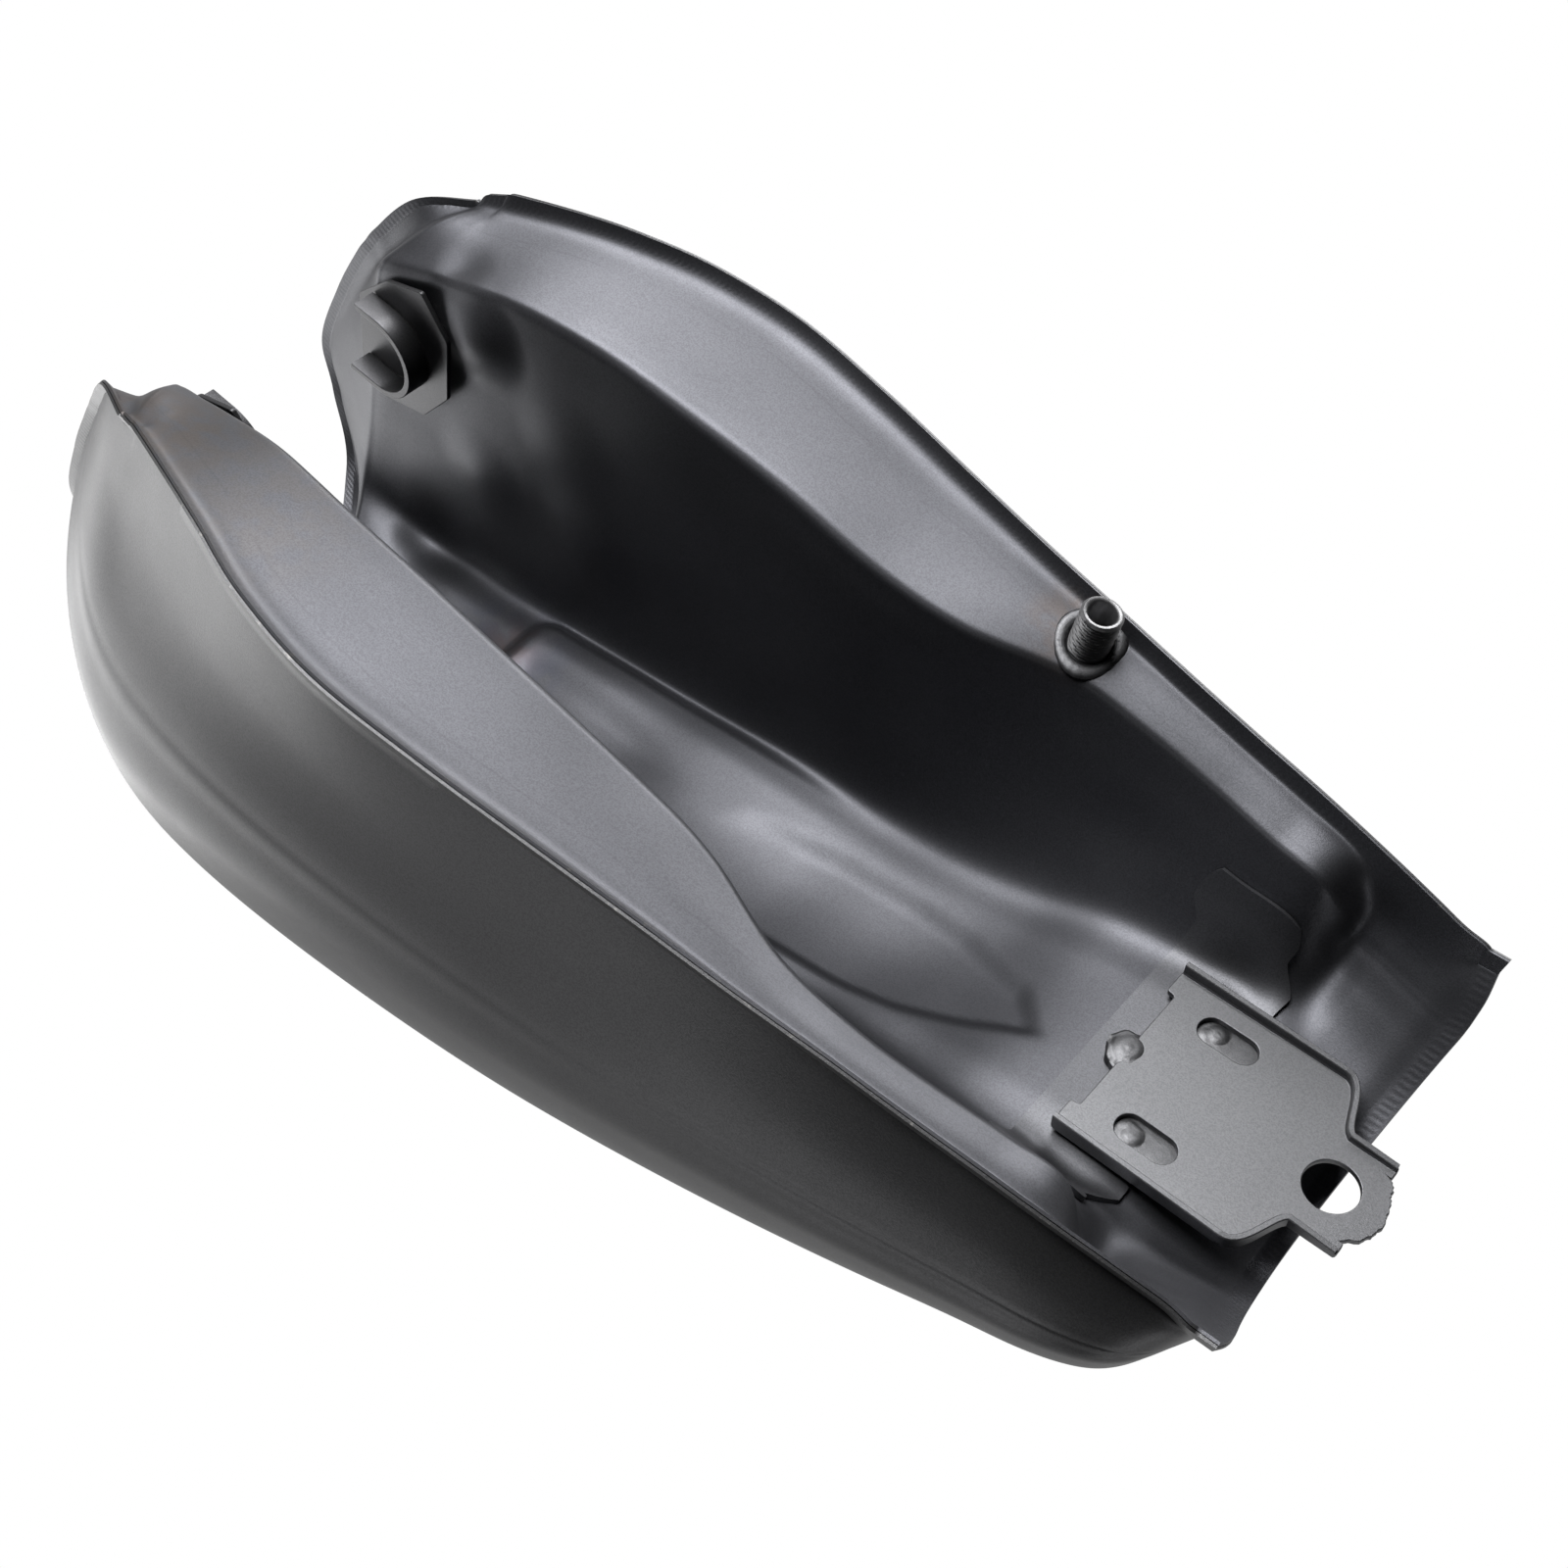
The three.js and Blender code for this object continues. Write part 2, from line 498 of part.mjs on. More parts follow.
// Weld collar round the spigot, trimmed to lie on the sloping pan.
function spigotWeld() {
  const s = SPIGOT;
  const bead = new THREE.TorusGeometry(10, 2.6, 8, 24);
  bead.rotateX(rad(-30));
  bead.translate(s.x, s.y, panHeightAtSpigot() - 0.6);
  const core = cylinder(s.threadR + 0.3, s.tip - 5, s.top + 5, 36, s.x, s.y);
  return largestBody(cut(bead, keepOffPan(), core));
}

function panHeightAtSpigot() {
  const points = surfaceGrid(pan, 120, 60).flat();
  const distance = (p) => Math.hypot(p[0] - SPIGOT.x, p[1] - SPIGOT.y);
  return points.filter((p) => p[2] < 40).reduce((best, p) => (distance(p) < distance(best) ? p : best))[2];
}

// ---------------------------------------------------------------- filler neck and locking cap, on the neck's axis
function fillerNeck() {
  const n = NECK;
  return turned([[n.innerR, n.low], [n.outerR, n.low], [n.outerR, n.top], [n.lipR, n.top], [n.lipR, n.lipLow],
    [n.innerR, n.lipLow]]);
}

const gasketLow = NECK.top + SEAM_GAP;
const flangeLow = gasketLow + CAP.gasketT + SEAM_GAP;
const flangeHigh = flangeLow + CAP.flangeT;

const capGasket = () => turned([[CAP.plugR + 0.9, gasketLow], [NECK.outerR - 0.4, gasketLow],
  [NECK.outerR - 0.4, gasketLow + CAP.gasketT], [CAP.plugR + 0.9, gasketLow + CAP.gasketT]]);

function capBase() {
  const plug = join(cylinder(CAP.plugR, CAP.plugLow, flangeHigh, 48), cylinder(CAP.flangeR, flangeLow, flangeHigh, 48));
  const chamber = cylinder(CAP.chamberR, LATCH.low - 0.6, flangeHigh + 5, 40);
  const stubHole = cylinder(LOCK.stubR + 0.3, CAP.plugLow - 5, 0, 24);
  const channel = box(2 * CAP.plugR + 10, LATCH.width + 2 * LATCH.channelGap, LATCH.thick + 2 * LATCH.channelGap,
    0, 0, LATCH.low + LATCH.thick / 2);
  return cut(plug, chamber, stubHole, channel);
}

const coverLow = flangeHigh + SEAM_GAP;
const coverTop = coverLow + CAP.coverH - 2;
function capCover() {
  const r = CAP.coverR;
  const skirt = CAP.flangeR + 0.4;
  const profile = [[9.2, coverLow], [skirt, coverLow], [skirt, flangeLow], [r - 0.6, flangeLow], [r, flangeLow + 1],
    [r - 0.5, coverLow + 1.6], [r - 3.5, coverTop - 2.4], [r - 9, coverTop - 0.6], [18, coverTop], [9.2, coverTop]];
  const pinHole = cylinder(KEY_COVER.pinR + 0.3, coverTop - 5, coverTop + 5, 20, 0, KEY_COVER.pivotY);
  return cut(turned(profile, 40), pinHole);
}

function lockBarrel() {
  const barrel = cylinder(LOCK.barrelR, LOCK.camLow + LOCK.camT + 0.5, coverTop - 0.8, 40);
  const stub = cylinder(LOCK.stubR, CAP.plugLow + 1, LOCK.camLow + LOCK.camT + 1, 24);
  const keySlot = box(8, 2.2, 8, 0, 0, coverTop - 0.8);
  return cut(join(barrel, stub), keySlot);
}

function lockCam() {
  const shape = new THREE.Shape();
  shape.absellipse(0, 0, LOCK.camShort, LOCK.camLong, 0, 2 * Math.PI, false, 0);
  shape.holes.push(new THREE.Path().absarc(0, 0, LOCK.stubR + 0.2, 0, 2 * Math.PI, false));
  return extruded(shape, LOCK.camT).translate(0, 0, LOCK.camLow);
}

function latchTongue(side) {
  const length = LATCH.outer - LATCH.inner;
  return box(length, LATCH.width, LATCH.thick, side * (LATCH.inner + length / 2), 0, LATCH.low + LATCH.thick / 2);
}

const keyCoverLow = coverTop + SEAM_GAP;
function keyholeCover() {
  const k = KEY_COVER;
  const shape = new THREE.Shape();
  const tangent = Math.asin((k.discR - k.pivotR) / k.pivotY);
  shape.absarc(0, 0, k.discR, Math.PI - tangent, 2 * Math.PI + tangent, false);
  shape.absarc(0, k.pivotY, k.pivotR, tangent, Math.PI - tangent, false);
  shape.closePath();
  shape.holes.push(new THREE.Path().absarc(0, k.pivotY, k.pinHole, 0, 2 * Math.PI, false));
  return extruded(shape, k.thick).translate(0, 0, keyCoverLow);
}

function keyholePin() {
  const headLow = keyCoverLow + KEY_COVER.thick + SEAM_GAP;
  return join(cylinder(KEY_COVER.pinR, coverTop - 4.7, headLow + 0.5, 20, 0, KEY_COVER.pivotY),
    cylinder(2 * KEY_COVER.pinR, headLow, headLow + 1, 24, 0, KEY_COVER.pivotY));
}

// ---------------------------------------------------------------- assembly
const tank = new THREE.Group();
const drawn = new THREE.Group();
tank.add(drawn);

function addPiece(name, geometry, material) {
  const mesh = new THREE.Mesh(geometry, material);
  mesh.name = name;
  drawn.add(mesh);
}

function addPair(name, geometry, material) {
  addPiece(`${name}_left`, geometry, material());
  addPiece(`${name}_right`, mirrored(mergeVertices(geometry)), material());
}

addPair('outer_shell', outerHalf(), materials.outerPaint);
addPiece('tunnel_pan', tunnelPan(), materials.panPaint());
addPair('front_plate', frontPlate(), materials.bracketPaint);
addPair('front_cup', frontCup(), materials.bracketPaint);
addPiece('rear_doubler', rearDoubler(), materials.bracketPaint());
addPiece('rear_bracket', rearBracket(), materials.bracketPaint());
addPiece('bracket_weld', weldBead(BRACKET.front - BRACKET.recess, 0, 6, -1.4, 4.6), materials.weld());
const plugX = BRACKET.slotX + (BRACKET.slotLength - BRACKET.slotWidth) / 2;
addPiece('plug_weld_left', weldBead(plugX, BRACKET.slotY, 5, 0.6, 4.8), materials.weld());
addPiece('plug_weld_right', weldBead(plugX, -BRACKET.slotY, 5, 0.6, 4.8), materials.weld());
addPiece('petcock_spigot', petcockSpigot(), materials.spigotSteel());
addPiece('spigot_weld', spigotWeld(), materials.weld());

const onNeck = {
  filler_neck: [fillerNeck, materials.outerPaint],
  cap_gasket: [capGasket, materials.rubber],
  cap_base: [capBase, materials.zinc],
  cap_cover: [capCover, materials.chrome],
  lock_barrel: [lockBarrel, materials.zinc],
  lock_cam: [lockCam, materials.zinc],
  latch_front: [() => latchTongue(1), materials.zinc],
  latch_rear: [() => latchTongue(-1), materials.zinc],
  keyhole_cover: [keyholeCover, materials.chrome],
  keyhole_pin: [keyholePin, materials.chrome],
};
for (const [name, [make, material]] of Object.entries(onNeck)) addPiece(name, placeOnNeck(make()), material());

// The origin goes under the middle of the box round the whole tank, at its lowest point.
const bounds = new THREE.Box3().setFromObject(drawn, true);
const middle = bounds.getCenter(new THREE.Vector3());
drawn.position.set(-middle.x, -middle.y, -bounds.min.z);

export default tank;
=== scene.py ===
"""Black saddle tank of pressed steel, seen from below, with its tunnel, brackets, spigot and filler cap."""

import math

import bmesh
import bpy
import numpy as np
from mathutils import Matrix, Vector


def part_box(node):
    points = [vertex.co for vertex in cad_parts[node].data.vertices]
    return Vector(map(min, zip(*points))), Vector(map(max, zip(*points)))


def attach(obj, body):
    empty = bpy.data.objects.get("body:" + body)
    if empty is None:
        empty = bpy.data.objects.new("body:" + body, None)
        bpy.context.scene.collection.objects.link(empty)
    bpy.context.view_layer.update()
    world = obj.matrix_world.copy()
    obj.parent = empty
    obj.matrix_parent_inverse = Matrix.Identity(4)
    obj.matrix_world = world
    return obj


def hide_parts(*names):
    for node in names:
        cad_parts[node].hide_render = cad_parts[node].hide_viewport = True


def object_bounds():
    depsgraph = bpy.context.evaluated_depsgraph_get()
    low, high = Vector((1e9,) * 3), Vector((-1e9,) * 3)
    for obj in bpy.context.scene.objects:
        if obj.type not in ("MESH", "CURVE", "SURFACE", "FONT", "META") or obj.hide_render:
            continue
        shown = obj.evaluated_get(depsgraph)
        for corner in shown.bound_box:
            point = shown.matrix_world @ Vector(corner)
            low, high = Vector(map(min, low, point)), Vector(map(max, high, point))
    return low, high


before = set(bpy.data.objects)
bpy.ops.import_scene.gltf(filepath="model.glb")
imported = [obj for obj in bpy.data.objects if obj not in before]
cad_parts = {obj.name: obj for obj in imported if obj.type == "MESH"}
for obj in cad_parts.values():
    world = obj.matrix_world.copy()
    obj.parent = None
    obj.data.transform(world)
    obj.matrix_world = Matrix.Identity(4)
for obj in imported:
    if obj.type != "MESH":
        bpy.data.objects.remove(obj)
start_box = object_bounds()
scene = bpy.context.scene

# -------------------- sizes, in millimetres
SHEET = 1.0
SEAM_GAP = 0.3
HALF_GAP = SEAM_GAP / 2
FLANGE = 7.0
FLANGE_LEAN = math.radians(15)
RIM_FLANGE = 6.0
TAIL_FLANGE = 7.0
TAIL_LEAN = 1.6
SHOULDER_POWER = 2.25
NOSE_ROUNDNESS = 0.4
ROWS = 240
SKIN_COLS = 84
PAN_COLS = 128
PLATE_SHARP = 30
DOUBLER_THICK = 1.8

SPIGOT = {"x": 178.5, "y": 92.5, "tip": -14.0, "top": 22.0, "r": 8.0, "bore": 5.35, "pitch": 1.5,
          "thread": 21.0}
BRACKET = {"x": -0.9, "z": 36.3, "pitch": math.radians(10.5), "thick": 2.5, "half": 40.7, "front": 83.0,
           "ear": 12.0, "recess": 3.5, "lip": 4.8, "shoulder": 18.0, "tongue": 20.7, "tongue_u": 4.0,
           "corner_u": -13.6, "nose_r": 20.0, "hole_r": 9.7, "slot_u": 55.4, "slot_v": 25.0,
           "slot_length": 23.0, "slot_width": 11.0}
CUP = {"x": 491.0, "z": 64.0, "plate": 2.0, "wall": 3.0, "r": 20.0, "low": 12.0, "high": 17.0, "width": 10.5,
       "y": 46.5}
PLATE_CORNERS = [(4, -31.5), (-16, -39.5), (-31, -23), (-31, 9), (-17, 29.5), (9, 37.5), (21, 24), (21, -13)]
NECK = {"tilt": math.radians(11), "outer": 26.8, "inner": 23.8, "lip": 20.5, "low": -16.0, "lip_low": 3.5,
        "top": 7.0, "hole": 27.3, "gasket": 2.0}
SHUTTER = {"r": 11, "eye_r": 4.5, "eye_v": 14, "hole_r": 1.8, "thick": 1.6}

# Cross-sections of the pressings from rear to front: x, then half widths and heights of the free edge, the
# widest point of the skin, the top of the skin, the lobe's inner ridge and the corner of the tunnel.
SECTIONS = [
    (62, 94, -2.5, 114, 41, 98, 75.5, 10, 52, 55),
    (85, 96.5, -3, 119, 47, 112, 77, 10, 50, 59),
    (110, 99, -3, 124, 53, 126, 80, 10.5, 49, 66),
    (140, 102, -3.5, 129, 61, 143, 82, 10.5, 47, 80),
    (175, 106, -4, 134, 71, 160, 81, 10, 46, 93),
    (215, 110, -5, 139, 82, 178, 69, 10, 47, 105),
    (255, 114.5, -6.5, 142.5, 93, 195, 65, 9, 48, 115),
    (300, 119.5, -8.5, 145, 104, 210, 65, 5, 49, 128),
    (345, 122.3, -10, 147, 113, 223, 63.5, 3, 50, 140),
    (385, 117.5, -11, 147.5, 120, 232, 62, 3, 50, 150),
    (415, 109, -11, 146, 126, 236.5, 59.5, 5, 50, 157),
    (440, 101.5, -8.5, 143.5, 130, 238, 57, 9, 51, 163),
    (468, 93, -3.5, 136, 131, 236.5, 54.5, 18, 51, 169),
]
# Sections of the skin behind the lobes, with the same first six columns.
TAIL = [(18, 88.5, -0.7, 101, 29, 75), (30, 90, -1.4, 107, 32, 82), (44, 91.8, -2, 112, 35, 89)]
# Edges and folds that cross the tank, from the side seam up to the centreline.
REAR_ARCH = [(7, 86.5, 7), (4.5, 80, 14), (3, 72, 24), (3, 62, 34.5), (3, 50, 45), (3, 36, 54), (3, 19, 61.5),
             (3, 0, 64.5)]
FRONT_ARCH = [(484, 86.5, 10.5), (506, 77, 19), (528, 70.5, 52), (547, 70, 92), (560, 69.5, 132),
              (548, 64, 153), (523, 48, 176), (492, 0, 191)]
LOBE_END = [(44, 90, 4.8), (44, 88, 18), (44, 82, 30), (44, 73, 40), (44, 61, 48), (44, 44, 53),
            (44, 22, 55.5), (44, 0, 56)]
# Fold between the lobe's front wall and the broad rim round the front arch.
RIM_FOLD = [(488, 72, 11), (503, 51.5, 33), (507.5, 50, 70), (511.5, 50, 118), (513, 46, 156), (503, 32, 173),
            (486, 0, 184)]
RIM_STEP = 4.5

side_flange = np.array([0, FLANGE * math.sin(FLANGE_LEAN), -FLANGE * math.cos(FLANGE_LEAN)])
near = HALF_GAP
far = near + SHEET

# The pressings are drawn from the rear lip. The spigot shows where that drawing sits in the shared frame.
spigot_low, spigot_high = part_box("petcock_spigot")
SHIFT = np.array([
    (spigot_low.x + spigot_high.x) * 500 - SPIGOT["x"],
    0.0,
    spigot_low.z * 1000 - SPIGOT["tip"],
])


def metres(points):
    return (np.asarray(points, float) + SHIFT) / 1000


# -------------------- surface maths
def lerp(a, b, t):
    return a + (b - a) * t


def spline(points, ts, centreline=False):
    """Smooth curve through points along the first axis. A curve ending on the centreline goes on mirrored."""
    before = 2 * points[0] - points[1]
    after = points[-2] * np.array([1, -1, 1]) if centreline else 2 * points[-1] - points[-2]
    padded = np.concatenate([before[None], points, after[None]])
    last = len(points) - 1
    f = np.clip(ts, 0, 1) * last
    i = np.minimum(f.astype(int), last - 1)
    t = (f - i).reshape((-1,) + (1,) * (points.ndim - 1))
    a, b, c, d = padded[i], padded[i + 1], padded[i + 2], padded[i + 3]
    square = 2 * a - 5 * b + 4 * c - d
    cube = 3 * b - a - 3 * c + d
    return 0.5 * (2 * b + (c - a) * t + square * t ** 2 + cube * t ** 3)


def surface(net, us, vs):
    rows = spline(net, us)
    return spline(rows.transpose(1, 0, 2), vs, centreline=True).transpose(1, 0, 2)


def skin_section(x, edge_y, edge_z, belt_y, belt_z, top_z):
    """Control points of the skin at x, from the side seam to the centreline."""
    root_y, root_z = edge_y - side_flange[1], edge_z - side_flange[2]
    flare = 0.85 * min(max((x - 150) / 200, 0), 1)
    points = []
    for t in (0, 1 / 3, 2 / 3, 1):
        bow = lerp(math.sin(t * math.pi / 2), t * t * (3 - 2 * t), flare)
        points.append((x, lerp(root_y, belt_y, bow), lerp(root_z, belt_z, t)))
    for degrees in (22.5, 45, 67.5):
        c, s = math.cos(math.radians(degrees)), math.sin(math.radians(degrees))
        points.append((x, belt_y * c ** (2 / SHOULDER_POWER), lerp(belt_z, top_z, s ** (2 / SHOULDER_POWER))))
    points.append((x, 0, top_z))
    return np.array(points, float)


def pan_section(x, edge_y, edge_z, ridge_y, ridge_z, corner_y, corner_z):
    """Control points of the pan at x, from the side seam to the centreline."""
    root_y, root_z = edge_y - side_flange[1], edge_z - side_flange[2]
    crown = 1 + 8 * min(max((x - 70) / 100, 0), 1)
    lean = min(max((x - 190) / 70, 0), 1)
    return np.array([
        (x, root_y, root_z),
        (x, lerp(root_y, ridge_y, 0.5) + 2, lerp(root_z, ridge_z, lerp(0.2, 0.35, lean))),
        (x, ridge_y, ridge_z),
        (x, lerp(ridge_y, corner_y, lerp(0.18, 0.38, lean)), lerp(ridge_z, corner_z, 0.22)),
        (x, lerp(ridge_y, corner_y, lerp(0.5, 0.58, lean)), lerp(ridge_z, corner_z, 0.62)),
        (x, corner_y, corner_z),
        (x, corner_y * 0.57, corner_z + crown * 0.7),
        (x, 0, corner_z + crown),
    ], float)


def finer(row, straight):
    """Adds two control points beside the lobe's ridge: on the same curve, or on straight lines to it."""
    curved = spline(row, np.array([1.74, 2.26]) / (len(row) - 1), centreline=True)
    direct = np.array([lerp(row[1], row[2], 0.74), lerp(row[2], row[3], 0.26)])
    extra = lerp(curved, direct, straight)
    return np.concatenate([row[:2], extra[:1], row[2:3], extra[1:], row[3:]])


def control_nets():
    rear, front, lobe_end = np.array(REAR_ARCH, float), np.array(FRONT_ARCH, float), np.array(LOBE_END, float)
    s18, s30, s44 = [skin_section(*row) for row in TAIL]
    behind = lerp(rear, s18, 0.62)
    behind[:, 0] = 10
    behind[0] = (10, 86.9, 6.6)
    skin = [rear, behind, s18, s30, s44] + [skin_section(*row[:6]) for row in SECTIONS]

    def hug(x, t):
        row = lerp(rear, lobe_end, t)
        row[:, 0] = x
        return row

    pan = [rear, hug(10, 0.08), hug(18, 0.3), hug(30, 0.62), lobe_end.copy()]
    for i in range(1, 5):
        pan[i][0] = skin[i][0]
    pan += [pan_section(*row[:3], *row[6:]) for row in SECTIONS]

    last_skin, last_pan = skin[-1], pan[-1]
    rim = front - np.array([9.0, 0, 0])
    rim[1:-1, 1] -= RIM_STEP
    fold = np.concatenate([front[:1], np.array(RIM_FOLD, float)])
    pan_rows = lerp(last_pan, fold, 0.5), lerp(last_pan, fold, 0.9), lerp(fold, rim, 0.13), rim
    for (swing, seam), pan_row in zip(((0.26, 0.30), (0.48, 0.52), (0.66, 0.66), (0.86, 0.88)), pan_rows):
        inward = 1 - math.cos(swing * math.pi / 2)
        forward = math.sin(swing * math.pi / 2)
        root = lerp(last_skin[0], front[0], seam)
        bowed = lerp(last_skin, front, inward)
        bowed[:, 0] = lerp(last_skin[:, 0], front[:, 0] + 1, forward)
        row = lerp(lerp(last_skin, front, swing), bowed, NOSE_ROUNDNESS)
        row[0] = root
        skin.append(row)
        row = pan_row.copy()
        row[0] = root
        pan.append(row)
    straight = [0, 0, 0.2] + [0.4] * 7 + [0.6] + [0.55] * (len(pan) - 15) + [0.5, 0.45, 0.4, 0.2, 0]
    return np.array([finer(row, 0) for row in skin + [front]]), np.array(
        [finer(row, amount) for row, amount in zip(pan + [front], straight)])


skin_net, pan_net = control_nets()


def bump_fall(distance, inner, outer):
    """1 inside inner, 0 outside outer, smooth between."""
    t = np.clip((outer - distance) / (outer - inner), 0, 1)
    return t * t * (3 - 2 * t)


def with_flanges(grid):
    """Adds the welded edge strips: columns down the side, then rows round the two arches."""
    steps = (1.0, 0.6, 0.2)
    taper = 1 - 0.5 * bump_fall(np.arange(len(grid))[::-1], 0, 16)
    edge = side_flange * taper[:, None, None]
    sided = np.concatenate([grid[:, :1] + edge * s for s in steps] + [grid], axis=1)
    count = grid.shape[1]
    turn = bump_fall(-np.linspace(0, 1, count), -0.2, 0)[:, None]
    rear_vector = np.array([-TAIL_FLANGE, 0, -TAIL_LEAN])
    front_vector = lerp(edge[-1] * 0.85 + np.array([2.0, 0, 0]), np.array([RIM_FLANGE, 0, 0]), turn)
    corner = [lerp(front_vector[0], np.array([1.6, 0, 0]), s) for s in steps]
    front_vector = np.concatenate([corner, front_vector])
    rear = [sided[:1] + rear_vector * s for s in steps]
    front = [sided[-1:] + front_vector[None] * s for s in steps[::-1]]
    return np.concatenate(rear + [sided] + front, axis=0)


def eased(grid, times, along, weight):
    """Relaxes a grid of points along one direction where weight is above 0. The border stays where it is."""
    grid = grid.copy()
    middle = (slice(1, -1), slice(None)) if along == 0 else (slice(None), slice(1, -1))
    for _ in range(times):
        before, after = (grid[:-2], grid[2:]) if along == 0 else (grid[:, :-2], grid[:, 2:])
        mean = 0.25 * before + 0.5 * grid[middle] + 0.25 * after
        grid[middle] = lerp(grid[middle], mean, weight[middle][..., None])
    return grid


def arc(points, axis):
    steps = np.linalg.norm(np.diff(points, axis=axis), axis=-1)
    zero = np.zeros_like(np.take(steps, [0], axis=axis))
    return np.concatenate([zero, np.cumsum(steps, axis=axis)], axis=axis)


def edge_fields(grid):
    """Each point's distance from the free edge, its place along that edge and its distance from the side."""
    from_side = arc(grid, 1)
    along = arc(grid, 0)
    from_end = np.minimum(along, along[-1:] - along)
    distance = np.minimum(from_side, from_end)
    run = np.where(from_side <= from_end, along, from_side)
    return distance, run, from_side


def normals_of(grid, centreline=False):
    along = np.gradient(grid, axis=0)
    across = np.gradient(grid, axis=1)
    n = np.cross(across, along)
    if centreline:
        n[:, -1, 1] = 0
    return n / np.linalg.norm(n, axis=2, keepdims=True)


def both_sides(values, sign=1):
    """Adds the right half to the left half. For points, sign turns the sideways axis round."""
    return np.concatenate([values, values[:, -2::-1] * sign], axis=1)


# -------------------- mesh helpers
def mesh_object(name, verts, faces, material, sharp=35):
    mesh = bpy.data.meshes.new(name)
    mesh.from_pydata([tuple(v) for v in verts], [], [tuple(f) for f in faces])
    mesh.validate()
    obj = bpy.data.objects.new(name, mesh)
    scene.collection.objects.link(obj)
    shade(obj, sharp)
    mesh.materials.append(material)
    return obj


def shade(obj, sharp=35):
    obj.data.shade_smooth()
    obj.data.set_sharp_from_angle(angle=math.radians(sharp))


def flatten(obj, place):
    """Plain shading on the faces that lie in the plate's own plane."""
    ends = np.asarray(place(np.array([(0, 0, 0), (0, 0, 1)], float)))
    axis = Vector(ends[1] - ends[0]).normalized()
    for face in obj.data.polygons:
        if abs(face.normal.dot(axis)) > 0.9995:
            face.use_smooth = False


def sheet_object(name, grid, low, high, material, centreline=False, flip=False, fields=None):
    """Closed sheet of metal between two offsets of a grid of points."""
    rows, cols = grid.shape[:2]
    n = normals_of(grid, centreline)
    points = np.concatenate([(grid + n * low).reshape(-1, 3), (grid + n * high).reshape(-1, 3)])
    layer = rows * cols
    ids = np.arange(layer).reshape(rows, cols)
    a, b, c, d = ids[:-1, :-1], ids[:-1, 1:], ids[1:, 1:], ids[1:, :-1]
    bottom = np.stack([a, b, c, d], -1).reshape(-1, 4)
    top = np.stack([a, d, c, b], -1).reshape(-1, 4) + layer
    rim = np.concatenate([ids[:-1, 0], ids[-1, :-1], ids[:0:-1, -1], ids[0, :0:-1]])
    ring = np.stack([rim, np.roll(rim, -1), np.roll(rim, -1) + layer, rim + layer], -1)
    faces = np.concatenate([bottom, top, ring])
    v = points[faces[:, 0]]
    volume = np.sum(v * np.cross(points[faces[:, 1]], points[faces[:, 2]]))
    volume += np.sum(v * np.cross(points[faces[:, 2]], points[faces[:, 3]]))
    if volume < 0:
        faces = faces[:, ::-1]
    if flip:
        points = points * np.array([1, -1, 1])
        faces = faces[:, ::-1]
    obj = mesh_object(name, metres(points), faces.tolist(), material)
    for label, values in (fields or {}).items():
        attribute = obj.data.attributes.new(label, "FLOAT", "POINT")
        attribute.data.foreach_set("value", np.tile(values.ravel(), 2).astype(np.float32))
    return obj


def bake_modifiers(obj):
    mesh = bpy.data.meshes.new_from_object(obj.evaluated_get(bpy.context.evaluated_depsgraph_get()))
    old = obj.data
    obj.modifiers.clear()
    obj.data = mesh
    bpy.data.meshes.remove(old)


def boolean(obj, tool, operation="DIFFERENCE"):
    modifier = obj.modifiers.new("cut", "BOOLEAN")
    modifier.operation = operation
    modifier.solver = "EXACT"
    modifier.object = tool
    bake_modifiers(obj)
    bpy.data.objects.remove(tool)


def plate_object(name, loops, thick, bevel, place, material):
    """Flat plate with rounded edges. The first loop is its outline and the others are holes."""
    curve = bpy.data.curves.new(name, "CURVE")
    curve.dimensions = "2D"
    curve.fill_mode = "BOTH"
    curve.extrude = thick / 2 - bevel
    curve.bevel_depth = bevel
    curve.bevel_resolution = 2
    curve.offset = -bevel
    for loop in loops:
        line = curve.splines.new("POLY")
        line.points.add(len(loop) - 1)
        for point, (x, y) in zip(line.points, loop):
            point.co = (x, y, 0, 1)
        line.use_cyclic_u = True
    holder = bpy.data.objects.new(name + "_curve", curve)
    scene.collection.objects.link(holder)
    mesh = bpy.data.meshes.new_from_object(holder.evaluated_get(bpy.context.evaluated_depsgraph_get()))
    bpy.data.objects.remove(holder)
    bpy.data.curves.remove(curve)
    co = np.array([v.co for v in mesh.vertices], float)
    co[:, 2] += thick / 2
    mesh.vertices.foreach_set("co", metres(place(co)).ravel())
    mesh.name = name
    obj = bpy.data.objects.new(name, mesh)
    scene.collection.objects.link(obj)
    merge_points(obj)
    mesh.materials.clear()
    mesh.materials.append(material)
    shade(obj, PLATE_SHARP)
    flatten(obj, place)
    return obj


def merge_points(obj, distance=2e-6):
    work = bmesh.new()
    work.from_mesh(obj.data)
    bmesh.ops.remove_doubles(work, verts=work.verts, dist=distance)
    bmesh.ops.recalc_face_normals(work, faces=work.faces)
    work.to_mesh(obj.data)
    work.free()


